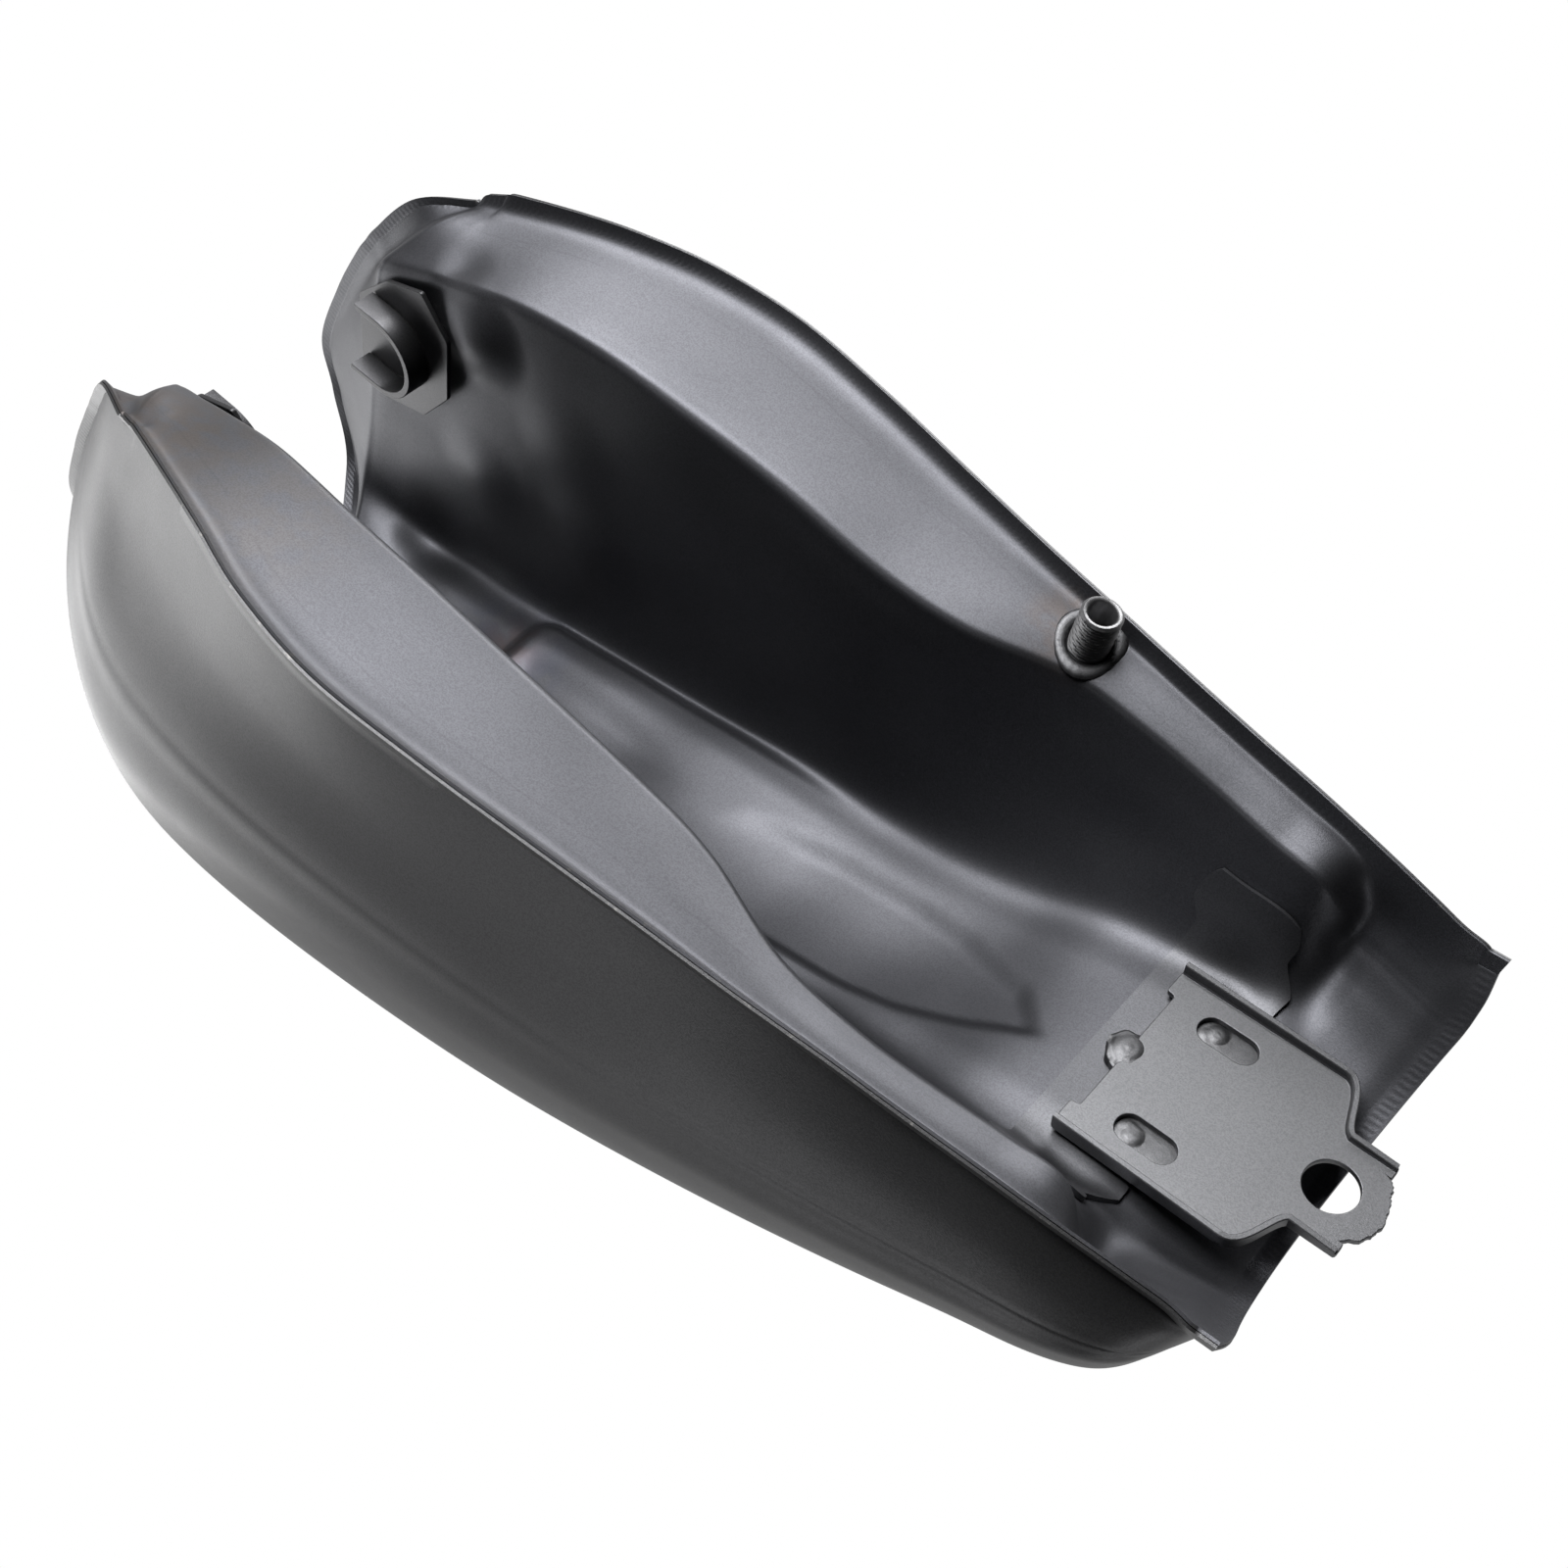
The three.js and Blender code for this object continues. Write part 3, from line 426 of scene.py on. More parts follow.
def turned_object(name, profile, segments, place, material, wobble=None, sharp=35):
    """Body of revolution from a closed outline of (radius, height). wobble may change the radii."""
    profile = np.array(profile, float)
    theta = np.linspace(0, 2 * math.pi, segments, endpoint=False)
    r = profile[:, 0][None, :] + np.zeros((segments, 1))
    z = profile[:, 1][None, :] + np.zeros((segments, 1))
    if wobble:
        r, z = wobble(theta[:, None], r, z)
    points = np.stack([r * np.cos(theta)[:, None], r * np.sin(theta)[:, None], z], -1)
    count = len(profile)
    ids = np.arange(segments * count).reshape(segments, count)
    nxt = np.roll(ids, -1, axis=0)
    faces = np.stack([ids, nxt, np.roll(nxt, -1, axis=1), np.roll(ids, -1, axis=1)], -1).reshape(-1, 4)
    obj = mesh_object(name, metres(place(points.reshape(-1, 3))), faces.tolist(), material, sharp)
    merge_points(obj)
    shade(obj, sharp)
    return obj


def rod(radius, reach, segments, place, material):
    """Solid rod that cuts a round hole."""
    profile = [(0.01, -reach), (radius, -reach), (radius, reach), (0.01, reach)]
    return turned_object("cutter", profile, segments, place, material)


def rounded(points, radius, steps=4):
    """A closed outline with its corners rounded."""
    points = [np.array(p, float) for p in points]
    out = []
    for before, here, after in zip([points[-1]] + points[:-1], points, points[1:] + points[:1]):
        a, b = before - here, after - here
        reach = min(radius, 0.45 * np.linalg.norm(a), 0.45 * np.linalg.norm(b))
        start, end = here + a / np.linalg.norm(a) * reach, here + b / np.linalg.norm(b) * reach
        for t in np.linspace(0, 1, steps + 1):
            out.append((1 - t) ** 2 * start + 2 * t * (1 - t) * here + t * t * end)
    return out


def circle(x, y, radius, count=48):
    return [(x + radius * math.cos(a), y + radius * math.sin(a))
            for a in np.linspace(0, 2 * math.pi, count, endpoint=False)]


def bead_object(name, lumps, place, material, seed, depth, size=48):
    """Weld metal: overlapping ripples heaped on a base that goes down by depth to the sheet below."""
    rng = np.random.default_rng(seed)
    span = max(abs(x) + r for x, y, r, h in lumps), max(abs(y) + r for x, y, r, h in lumps)
    theta = np.linspace(0, 2 * math.pi, size, endpoint=False)
    rings = np.linspace(0, 1, 15)[1:]
    outline = 1 + 0.05 * np.sin(3 * theta + rng.uniform(0, 6)) + 0.04 * np.sin(7 * theta + rng.uniform(0, 6))
    x = rings[:, None] * np.cos(theta) * span[0] * outline
    y = rings[:, None] * np.sin(theta) * span[1] * outline
    height, centre_height = np.zeros_like(x), 0
    for lx, ly, r, h in lumps:
        d = np.hypot(x - lx, y - ly) / r
        height = np.maximum(height, h * np.sqrt(np.clip(1 - d ** 2, 0, 1)) * (1 + 0.03 * np.cos(d * 12)))
        centre_height = max(centre_height, h * math.sqrt(max(0, 1 - (lx ** 2 + ly ** 2) / r ** 2)))
    height[-1] = 0
    top = np.stack([x, y, height], -1).reshape(-1, 3)
    low = np.stack([x[-1], y[-1], np.full(size, -depth)], -1)
    points = np.concatenate([top, [[0, 0, centre_height]], low, [[0, 0, -depth]]])
    ring_count = len(rings)
    faces = []
    tip, base, bottom = ring_count * size, ring_count * size + 1, ring_count * size + 1 + size
    for j in range(size):
        k = (j + 1) % size
        faces.append((tip, j, k))
        for i in range(ring_count - 1):
            faces.append((i * size + j, (i + 1) * size + j, (i + 1) * size + k, i * size + k))
        last = (ring_count - 1) * size
        faces.append((last + j, base + j, base + k, last + k))
        faces.append((base + j, bottom, base + k))
    obj = mesh_object(name, metres(place(points)), faces, material, 60)
    merge_points(obj)
    return obj


# -------------------- materials
def shader(name, color, metallic, roughness):
    material = bpy.data.materials.new(name)
    material.use_nodes = True
    tree = material.node_tree
    bsdf = tree.nodes["Principled BSDF"]
    bsdf.inputs["Base Color"].default_value = (*color, 1)
    bsdf.inputs["Metallic"].default_value = metallic
    bsdf.inputs["Roughness"].default_value = roughness
    return material, tree, bsdf


class Nodes:
    """Short names for the node set-ups the materials share."""

    def __init__(self, tree):
        self.tree = tree
        self.coords = tree.nodes.new("ShaderNodeTexCoord").outputs["Object"]

    def new(self, kind, **values):
        node = self.tree.nodes.new(kind)
        for key, value in values.items():
            setattr(node, key, value)
        return node

    def link(self, a, b):
        self.tree.links.new(a, b)

    def math(self, operation, a, b=None):
        node = self.new("ShaderNodeMath", operation=operation)
        for socket, value in zip(node.inputs, (a, b)):
            if value is None:
                continue
            if isinstance(value, (int, float)):
                socket.default_value = value
            else:
                self.link(value, socket)
        return node.outputs[0]

    def noise(self, scale, detail=3.0, rough=0.55):
        node = self.new("ShaderNodeTexNoise")
        node.inputs["Scale"].default_value = scale
        node.inputs["Detail"].default_value = detail
        node.inputs["Roughness"].default_value = rough
        self.link(self.coords, node.inputs["Vector"])
        return node.outputs["Fac"]

    def ramp(self, value, low, high, start=0.0, end=1.0):
        node = self.new("ShaderNodeMapRange", interpolation_type="SMOOTHSTEP")
        node.inputs["From Min"].default_value = low
        node.inputs["From Max"].default_value = high
        node.inputs["To Min"].default_value = start
        node.inputs["To Max"].default_value = end
        self.link(value, node.inputs["Value"])
        return node.outputs["Result"]

    def spot(self, point, inner, outer):
        """1 near a point of the object, in metres, falling to 0 at the outer radius."""
        node = self.new("ShaderNodeVectorMath", operation="DISTANCE")
        self.link(self.coords, node.inputs[0])
        node.inputs[1].default_value = point
        return self.ramp(node.outputs["Value"], inner, outer, 1.0, 0.0)

    def mix(self, factor, a, b):
        node = self.new("ShaderNodeMix", data_type="RGBA")
        for socket, value in ((node.inputs[0], factor), (node.inputs[6], a), (node.inputs[7], b)):
            if isinstance(value, tuple):
                socket.default_value = (*value, 1)
            elif isinstance(value, (int, float)):
                socket.default_value = value
            else:
                self.link(value, socket)
        return node.outputs[2]

    def bump(self, height, distance, strength=1.0, after=None):
        node = self.new("ShaderNodeBump")
        node.inputs["Strength"].default_value = strength
        node.inputs["Distance"].default_value = distance
        self.link(height, node.inputs["Height"])
        if after is not None:
            self.link(after, node.inputs["Normal"])
        return node.outputs["Normal"]

    def field(self, name):
        return self.new("ShaderNodeAttribute", attribute_name=name).outputs["Fac"]


def paint(name, color, pale, metallic, rough, grain, seam=False, tints_and_shade=(), waviness=0.05):
    """Thin satin paint over pressed steel: grain, soft clouds, chips at the free edge, and coloured spots,
    which are heat discoloration and also painted shade where a spot is given a dark colour.
    """
    material, tree, bsdf = shader(name, color, metallic, rough)
    n = Nodes(tree)
    clouds = n.ramp(n.noise(9, 4), 0.25, 0.8)
    speck = n.noise(1500, 2, 0.7)
    dust = n.ramp(n.noise(620, 2, 0.6), 0.52, 0.74)
    shade_color = n.mix(clouds, color, pale)
    shade_color = n.mix(n.math("MULTIPLY", dust, 0.10), shade_color, tuple(min(1.0, 1.6 * c) for c in pale))
    peel = n.math("MULTIPLY", n.ramp(speck, 0.42, 0.62), 0.32)
    shade_color = n.mix(peel, shade_color, tuple(0.45 * c for c in color))
    # Coloured spots faded in by noise: heat discoloration, and painted shade where a spot is given a dark
    # colour.
    for point, inner, outer, tint_and_shade, amount in tints_and_shade:
        mask = n.math("MULTIPLY", n.spot(point, inner, outer), n.ramp(n.noise(120, 3), 0.35, 0.6))
        shade_color = n.mix(n.math("MULTIPLY", mask, amount), shade_color, tint_and_shade)
    roughness = n.math("ADD", n.ramp(n.noise(45, 4), 0.2, 0.8, rough - 0.015, rough + 0.015),
                       n.math("MULTIPLY", speck, 0.05))
    normal = n.bump(n.noise(60, 3), 0.0004, waviness)
    if seam:
        edge, run = n.field("edge"), n.field("run")
        uneven = n.math("ADD", run, n.math("MULTIPLY", n.noise(90, 2), 3.0))
        wave = n.math("SINE", n.math("MULTIPLY", uneven, 2.3))
        strip = n.math("MULTIPLY", n.ramp(edge, 5.2, 6.6, 1.0, 0.0), n.ramp(edge, 0.6, 1.8))
        normal = n.bump(n.math("MULTIPLY", wave, strip), 0.0001, 0.22, normal)
        wander = n.math("MULTIPLY", n.math("SUBTRACT", n.noise(26, 2), 0.5), 5.0)
        side = n.math("ADD", n.field("side"), wander)
        off_line = n.math("ABSOLUTE", n.math("SUBTRACT", side, 20.0))
        scribe = n.math("MULTIPLY", n.ramp(off_line, 0.1, 0.75, 1.0, 0.0), n.ramp(n.noise(30, 2), 0.38, 0.52))
        normal = n.bump(scribe, 0.0002, -0.3, normal)
        shade_color = n.mix(n.math("MULTIPLY", scribe, 0.15), shade_color, tuple(0.4 * c for c in color))
        worn = n.math("MULTIPLY", n.ramp(edge, 0.0, 1.1, 1.0, 0.0), n.ramp(n.noise(210, 4, 0.7), 0.60, 0.68))
        shade_color = n.mix(worn, shade_color, (0.10, 0.098, 0.096))
    normal = n.bump(speck, 0.0001, grain, normal)
    n.link(shade_color, bsdf.inputs["Base Color"])
    n.link(roughness, bsdf.inputs["Roughness"])
    n.link(normal, bsdf.inputs["Normal"])
    return material


def metal(name, color, rough, scratch=0.3):
    """Bare or plated metal with smears and fine scratches."""
    material, tree, bsdf = shader(name, color, 1.0, rough)
    n = Nodes(tree)
    smear = n.noise(60, 4)
    fine = n.noise(900, 3, 0.65)
    tone = n.mix(n.ramp(smear, 0.3, 0.7), color, tuple(0.72 * c for c in color))
    roughness = n.ramp(n.math("ADD", n.math("MULTIPLY", smear, 0.5), n.math("MULTIPLY", fine, 0.5)),
                       0.3, 0.7, max(rough - 0.05, 0.03), rough + 0.12)
    n.link(tone, bsdf.inputs["Base Color"])
    n.link(roughness, bsdf.inputs["Roughness"])
    n.link(n.bump(fine, 0.0001, scratch), bsdf.inputs["Normal"])
    return material


def place_m(x, y, z):
    return tuple(metres([(x, y, z)])[0])


# The blue is painted shade, laid on the middle of the tunnel's ceiling.
brown, straw, painted_shade_blue = (0.075, 0.05, 0.032), (0.09, 0.07, 0.045), (0.03, 0.038, 0.075)
outer_paint = paint("outer_paint", (0.058, 0.058, 0.060), (0.066, 0.066, 0.068), 0.9, 0.39, 0.6, seam=True,
                    waviness=0.0)
# On the pan, the dark bluish spot in the middle of the tunnel's ceiling is painted shade. It darkens the deep
# ceiling between the walls.
pan_paint = paint(
    "pan_paint", (0.064, 0.065, 0.072), (0.077, 0.078, 0.086), 0.92, 0.45, 0.4, seam=True, waviness=0.02,
    tints_and_shade=((place_m(480, -80, 5), 0.01, 0.05, brown, 0.3), (place_m(430, -85, 0), 0.02, 0.07, straw, 0.15),
           (place_m(186, 94, 8), 0.010, 0.024, brown, 0.3), (place_m(400, 10, 150), 0.0, 0.05, painted_shade_blue, 0.5),
           (place_m(396, 20, 155), 0.0, 0.028, brown, 0.5)))
bracket_paint = paint("bracket_paint", (0.104, 0.105, 0.110), (0.118, 0.119, 0.125), 0.9, 0.42, 0.4,
                      waviness=0.02)
cup_paint = paint("cup_paint", (0.045, 0.045, 0.048), (0.055, 0.055, 0.058), 0.9, 0.40, 0.3, waviness=0.02)
doubler_paint = paint("doubler_paint", (0.076, 0.077, 0.083), (0.088, 0.089, 0.096), 0.9, 0.44, 0.4)
weld_paint = paint("weld_paint", (0.070, 0.071, 0.074), (0.085, 0.085, 0.089), 0.9, 0.40, 0.5)
neck_paint = paint("neck_paint", (0.055, 0.055, 0.057), (0.065, 0.065, 0.067), 0.9, 0.36, 0.22)
spigot_steel = metal("spigot_steel", (0.20, 0.20, 0.205), 0.42)
chrome = metal("chrome", (0.80, 0.81, 0.83), 0.07, 0.05)
zinc = metal("zinc", (0.50, 0.52, 0.54), 0.30)
rubber, rubber_tree, rubber_bsdf = shader("rubber", (0.022, 0.022, 0.023), 0.0, 0.7)
rubber_nodes = Nodes(rubber_tree)
rubber_roughness = rubber_nodes.ramp(rubber_nodes.noise(300, 4), 0.3, 0.7, 0.6, 0.85)
rubber_normal = rubber_nodes.bump(rubber_nodes.noise(900, 3), 0.0001, 0.5)
rubber_nodes.link(rubber_roughness, rubber_bsdf.inputs["Roughness"])
rubber_nodes.link(rubber_normal, rubber_bsdf.inputs["Normal"])


def keep(obj, body, node):
    """Says which body a piece rides on and hides the CAD node that it replaces."""
    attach(obj, body)
    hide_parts(node)


# -------------------- pressed skin and pan
us = np.linspace(0, 1, ROWS + 1)
skin_grid = with_flanges(surface(skin_net, us, np.linspace(0, 1, SKIN_COLS + 1)))
pan_half = with_flanges(surface(pan_net, us, np.linspace(0, 1, PAN_COLS + 1)))
row_number = np.arange(len(skin_grid))[:, None]
from_ends = np.minimum(row_number, row_number[::-1])
inside_skin = np.clip((np.arange(skin_grid.shape[1]) - 3) / 9, 0, 1) * np.clip((from_ends - 4) / 12, 0, 1)
skin_grid = eased(skin_grid, 80, 0, inside_skin)
near_root = np.clip((26 - np.arange(pan_half.shape[1])) / 9, 0, 1) * np.clip((from_ends - 4) / 14, 0, 1)
pan_half = eased(pan_half, 18, 1, near_root)


def on_neck(points):
    """From the filler neck's own axes to the drawing. The cap is built round the neck's centre."""
    points = np.asarray(points, float)
    c, s = math.cos(NECK["tilt"]), math.sin(NECK["tilt"])
    x = points[:, 0] * c - points[:, 2] * s
    z = points[:, 0] * s + points[:, 2] * c
    return np.stack([x, points[:, 1], z], -1) + neck_centre


gasket_low, gasket_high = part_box("cap_gasket")
gasket_middle = np.array([gasket_low.x + gasket_high.x, 0, gasket_low.z + gasket_high.z]) * 500 - SHIFT
gasket_height = NECK["top"] + SEAM_GAP + NECK["gasket"] / 2
neck_axis = np.array([-math.sin(NECK["tilt"]), 0, math.cos(NECK["tilt"])])
neck_centre = gasket_middle - neck_axis * gasket_height

skin_grid[:, -1, 1] = HALF_GAP
skin_edge, skin_run, skin_side = edge_fields(skin_grid)
for side, name in ((1, "skin_left"), (-1, "skin_right")):
    skin = sheet_object(name, skin_grid, near, far, outer_paint, centreline=True, flip=side < 0,
                        fields={"edge": skin_edge, "run": skin_run, "side": np.full_like(skin_side, 99)})
    boolean(skin, rod(NECK["hole"], 30, 72, on_neck, outer_paint))
    keep(skin, "tank", "outer_shell_left" if side > 0 else "outer_shell_right")

pan_grid = both_sides(pan_half, np.array([1, -1, 1]))
half_edge, half_run, half_side = edge_fields(pan_half)
X, Y, Z = pan_grid[..., 0], pan_grid[..., 1], pan_grid[..., 2]
pan_normal = normals_of(pan_grid)
ceiling = bump_fall(-np.abs(pan_normal[..., 2]), -0.85, -0.6) * (Z > 50)


def pad(x0, x1, y, half, corner):
    """Distance outside a rounded strip along the tunnel's ceiling."""
    dx = np.maximum(np.abs(X - (x0 + x1) / 2) - (x1 - x0) / 2 + corner, 0)
    dy = np.maximum(np.abs(Y - y) - half + corner, 0)
    return np.hypot(dx, dy) - corner


# How far each point is pressed into the tank. Below 0 it stands out towards the tunnel.
pressed = np.zeros_like(X)
pressed -= 5.0 * bump_fall(pad(150, 396, 0, 47, 13), -9, 0) * (Z > 60) * bump_fall(-X, -300, -205)
high_side = np.interp(X, [273, 300, 331, 372, 392], [21, 25, 29, 30.5, 28])
front_hollow = bump_fall(Y - high_side, -17, 0) * bump_fall(-30 - Y, -6, 3)
pressed += 2.9 * front_hollow * bump_fall(X, 378, 390) * bump_fall(-X, -318, -272) * ceiling
high_side = np.interp(X, [98, 108, 120, 150, 173, 210, 244, 252, 262], [-6, 0, 12, 23, 26, 26, 21, 17, 10])
low_side = np.interp(X, [98, 113, 129, 152, 176, 215, 250, 262], [-8, -13.5, -20, -27, -30, -31, -28, -20])
rear_hollow = bump_fall(Y - high_side, -13, 0) * bump_fall(low_side - Y, -4, 0.8)
pressed += 2.7 * rear_hollow * bump_fall(X, 218, 268) * bump_fall(-X, -112, -98) * ceiling

# Dents in the tunnel's walls: the middle, the radius and the depth of each.
DENTS = [
    (415, 50, 120, 34, 2.6), (385, 52, 96, 30, -2.2), (352, 54, 108, 28, 2.0), (445, 52, 108, 26, -2.0),
    (318, 50, 92, 38, 1.6), (262, 49, 80, 34, -1.4), (466, 60, 12, 16, 1.5), (450, 53, 33, 27, -6.0),
    (400, 50, 60, 30, -1.5), (230, 58, 50, 26, 1.5), (375, -52, 110, 36, 1.6), (300, -50, 90, 36, -1.5),
    (440, -52, 90, 30, 1.8), (420, 20, 160, 30, 1.4), (130, 62, 45, 24, 1.0), (52, 80, 22, 12, -1.0),
]
for x, y, z, radius, depth in DENTS:
    distance = np.sqrt((X - x) ** 2 + (Y - y) ** 2 + (Z - z) ** 2)
    pressed += depth * bump_fall(distance, 0, radius)
waves = 0.22 * np.sin(X / 23 + 1.3) * np.sin(Y / 19 + 0.4) + 0.25 * np.sin(X / 11 + Y / 17) * np.sin(Z / 13)
pressed += waves * bump_fall(-both_sides(half_edge), -24, -10)
pan_formed = pan_grid + pan_normal * pressed[..., None]
pan = sheet_object("pan", pan_formed, -far, -near, pan_paint,
                   fields={"edge": both_sides(half_edge), "run": both_sides(half_run),
                           "side": both_sides(half_side)})
spigot_place = np.array([SPIGOT["x"], SPIGOT["y"], 10])
boolean(pan, rod(SPIGOT["r"] + 0.3, 40, 48, lambda p: p + spigot_place, pan_paint))
keep(pan, "tank", "tunnel_pan")


# -------------------- rear bracket, its doubler and welds
def on_bracket(points):
    """From the bracket's own plane, with its origin in the bolt hole, to the drawing."""
    points = np.asarray(points, float)
    c, s = math.cos(BRACKET["pitch"]), math.sin(BRACKET["pitch"])
    x = points[:, 0] * c - points[:, 2] * s
    z = points[:, 0] * s + points[:, 2] * c
    return np.stack([x + BRACKET["x"], points[:, 1], z + BRACKET["z"]], -1)


b = BRACKET


def flank_point(t):
    """Point of the flank curve, which goes from the shoulder at 0 to the tongue at 1."""
    start, end = np.array([b["shoulder"], b["half"]]), np.array([b["tongue_u"], b["tongue"]])
    bow = 3 * t * (1 - t) ** 2 * (start - [9, 0]) + 3 * t * t * (1 - t) * (end + [4, 4])
    return (1 - t) ** 3 * start + t ** 3 * end + bow


def bracket_outline():
    middle_edge, ear = b["front"] - b["recess"], b["half"] - b["ear"]
    corners = [(b["shoulder"], -b["half"]), (b["front"], -b["half"]), (b["front"], -ear), (middle_edge, -ear),
               (middle_edge, -7.0), (middle_edge - 1.5, -4.0), (middle_edge - 1.0, 3.0), (middle_edge, 6.5),
               (middle_edge, ear), (b["front"], ear), (b["front"], b["half"]), (b["shoulder"], b["half"])]
    outline = [np.array(p) for p in rounded(corners, 1.4, 3)[:-4]] + [np.array(corners[-1])]
    flank = [flank_point(t) for t in np.linspace(0, 1, 18)[1:]]
    nose_angle = math.acos(-b["corner_u"] / b["nose_r"])
    tongue = rounded([(b["tongue_u"] - 1, b["tongue"]), (b["corner_u"], b["tongue"]),
                      (b["corner_u"], b["nose_r"] * math.sin(nose_angle))], 1.6, 3)[5:]
    rng = np.random.default_rng(4)
    nose = []
    for a in np.linspace(math.pi - nose_angle, math.pi + nose_angle, 40)[1:-1]:
        r = b["nose_r"] + rng.uniform(-0.35, 0.35) - (0.9 if 0.2 < math.sin(5 * a) else 0)
        nose.append(np.array([r * math.cos(a), r * math.sin(a)]))
    half = flank + tongue
    other = [p * np.array([1, -1]) for p in reversed(half)]
    return outline + half + nose + other


def slot_loop(u, v, length, width):
    reach = (length - width) / 2
    right = [(u + reach + width / 2 * math.cos(a), v + width / 2 * math.sin(a))
             for a in np.linspace(-math.pi / 2, math.pi / 2, 16)]
    left = [(u - reach + width / 2 * math.cos(a), v + width / 2 * math.sin(a))
            for a in np.linspace(math.pi / 2, 1.5 * math.pi, 16)]
    return right + left


loops = [bracket_outline(), circle(0, 0, b["hole_r"])]
loops += [slot_loop(b["slot_u"], side * b["slot_v"], b["slot_length"], b["slot_width"]) for side in (1, -1)]
bracket = plate_object("bracket", loops, b["thick"], 0.35, on_bracket, bracket_paint)


def flank_path():
    """The bracket's edge from its front ear, round the flank, to the end of the tongue."""
    path = [np.array([u, b["half"]]) for u in np.linspace(b["front"] - 0.4, b["shoulder"] + 1, 12)]
    path += [flank_point(t) for t in np.linspace(0, 1, 18)]
    path += [np.array([u, b["tongue"]]) for u in np.linspace(b["tongue_u"] - 3, b["corner_u"] + 0.6, 5)]
    return np.array(path)


path = flank_path()
tangent = np.gradient(path, axis=0)
outward = np.stack([tangent[:, 1], -tangent[:, 0]], -1)
outward /= np.linalg.norm(outward, axis=1, keepdims=True)
drop_height = np.interp(path[:, 0], [b["corner_u"], b["tongue_u"], b["shoulder"], b["front"]],
                        [1.6, 2.6, 3.6, b["lip"]])
thick = b["thick"]
for side in (1, -1):
    verts = []
    for point, normal, low in zip(path, outward, drop_height):
        bend = [(-1.2, thick - 0.01), (-0.2, thick - 0.8), (0.05, thick - 2.2), (0.05, 0.3 - low),
                (-0.3, -low), (0.3 - 2.2, -low), (-2.2, 0.3 - low), (-2.2, -0.8), (-2.7, -0.02), (-3.8, 0.3)]
        verts += [(*((point + normal * v) * np.array([1, side])), w) for v, w in bend]
    ring, count = 10, len(path)
    faces = [(i * ring + k, i * ring + (k + 1) % ring, (i + 1) * ring + (k + 1) % ring, (i + 1) * ring + k)
             for i in range(count - 1) for k in range(ring)]
    faces += [tuple(range(ring))[::-1], tuple(range((count - 1) * ring, count * ring))]
    lip = mesh_object("lip", metres(on_bracket(verts)), faces, bracket_paint)
    merge_points(lip)
    boolean(bracket, lip, "UNION")
shade(bracket, PLATE_SHARP)
flatten(bracket, on_bracket)
keep(bracket, "tank", "rear_bracket")


def pan_patch(column_fields, rows=40):
    """Grid on the plain pan between two x values that may change from column to column."""
    columns = []
    for v, side, x0, x1 in column_fields:
        line = surface(pan_net, np.linspace(0.12, 0.5, 300), np.array([v]))[:, 0]
        wanted = np.linspace(x0, x1, rows)
        point = np.stack([np.interp(wanted, line[:, 0], line[:, k]) for k in range(3)], -1)
        columns.append(point * np.array([1, side, 1]))
    return np.stack(columns, axis=1)


# The doubler's columns go from the tank's left at -1 to its right at 1. Its two ends are wings that lie
# further forward, and the right part of its rear edge is crimped.
columns = []
for q in np.linspace(-1, 1, 81):
    v = 1 - (0.40 if q < 0 else 0.33) * abs(q)
    wing = min(max((abs(q) - 0.72) / 0.12, 0), 1)
    front = lerp(88.5, 95, wing * wing * (3 - 2 * wing)) - 3.0 * max((abs(q) - 0.9) / 0.1, 0) ** 2
    rear = lerp(47, 56, wing * wing * (3 - 2 * wing)) + 3.0 * max((abs(q) - 0.9) / 0.1, 0) ** 2
    if q > 0.35:
        rear += 2.4 * max(0, math.sin(q * 26))
    columns.append((v, 1 if q < 0 else -1, rear, front))
patch = pan_patch(columns)
doubler_gap = far + SEAM_GAP
doubler = sheet_object("doubler", patch, -doubler_gap - DOUBLER_THICK, -doubler_gap, doubler_paint)
keep(doubler, "tank", "rear_doubler")


def under_bracket(u, v, w):
    """Places weld metal at a point of the bracket, heaped towards the open side."""
    def place(points):
        points = np.asarray(points, float) * np.array([1, 1, -1])
        return on_bracket(points + np.array([u, v, w]))
    return place


nugget = bead_object("front_nugget", [(0, 0.6, 6.6, 1.9), (-2.4, -3.4, 5.0, 1.3), (2.6, 3.2, 5.0, 1.1),
                                      (3.4, -3.0, 4.4, 0.8)],
                     under_bracket(b["front"] - b["recess"], 0, 1.2), weld_paint, 3, 4.2)
keep(nugget, "tank", "bracket_weld")
# Each plug weld fills its slot from the doubler up to just behind the plate, with a lump near the front end.
slot_middle = (b["slot_length"] - b["slot_width"]) / 2
slot_cover = b["slot_width"] / 2 + 2.0
for side, name in ((1, "plug_left"), (-1, "plug_right")):
    plug = bead_object(name, [(-slot_middle, 0, slot_cover, 0.5), (0, 0, slot_cover, 0.5),
                              (slot_middle, 0, slot_cover, 0.5), (4.4, 0.9 * side, 4.4, 1.3),
                              (7.2, -1.2 * side, 3.2, 1.0)],
                       under_bracket(b["slot_u"], side * b["slot_v"], 2.6), weld_paint, 5 + side, 3.2)
    keep(plug, "tank", "plug_weld_left" if side > 0 else "plug_weld_right")


# -------------------- front plates and cups
def on_wall(side, y):
    """Stands a plate upright beside the tunnel, at a distance y from the centreline."""
    def place(points):
        points = np.asarray(points, float)
        return np.stack([CUP["x"] + points[:, 0], side * (y + points[:, 2]), CUP["z"] + points[:, 1]], -1)
    return place


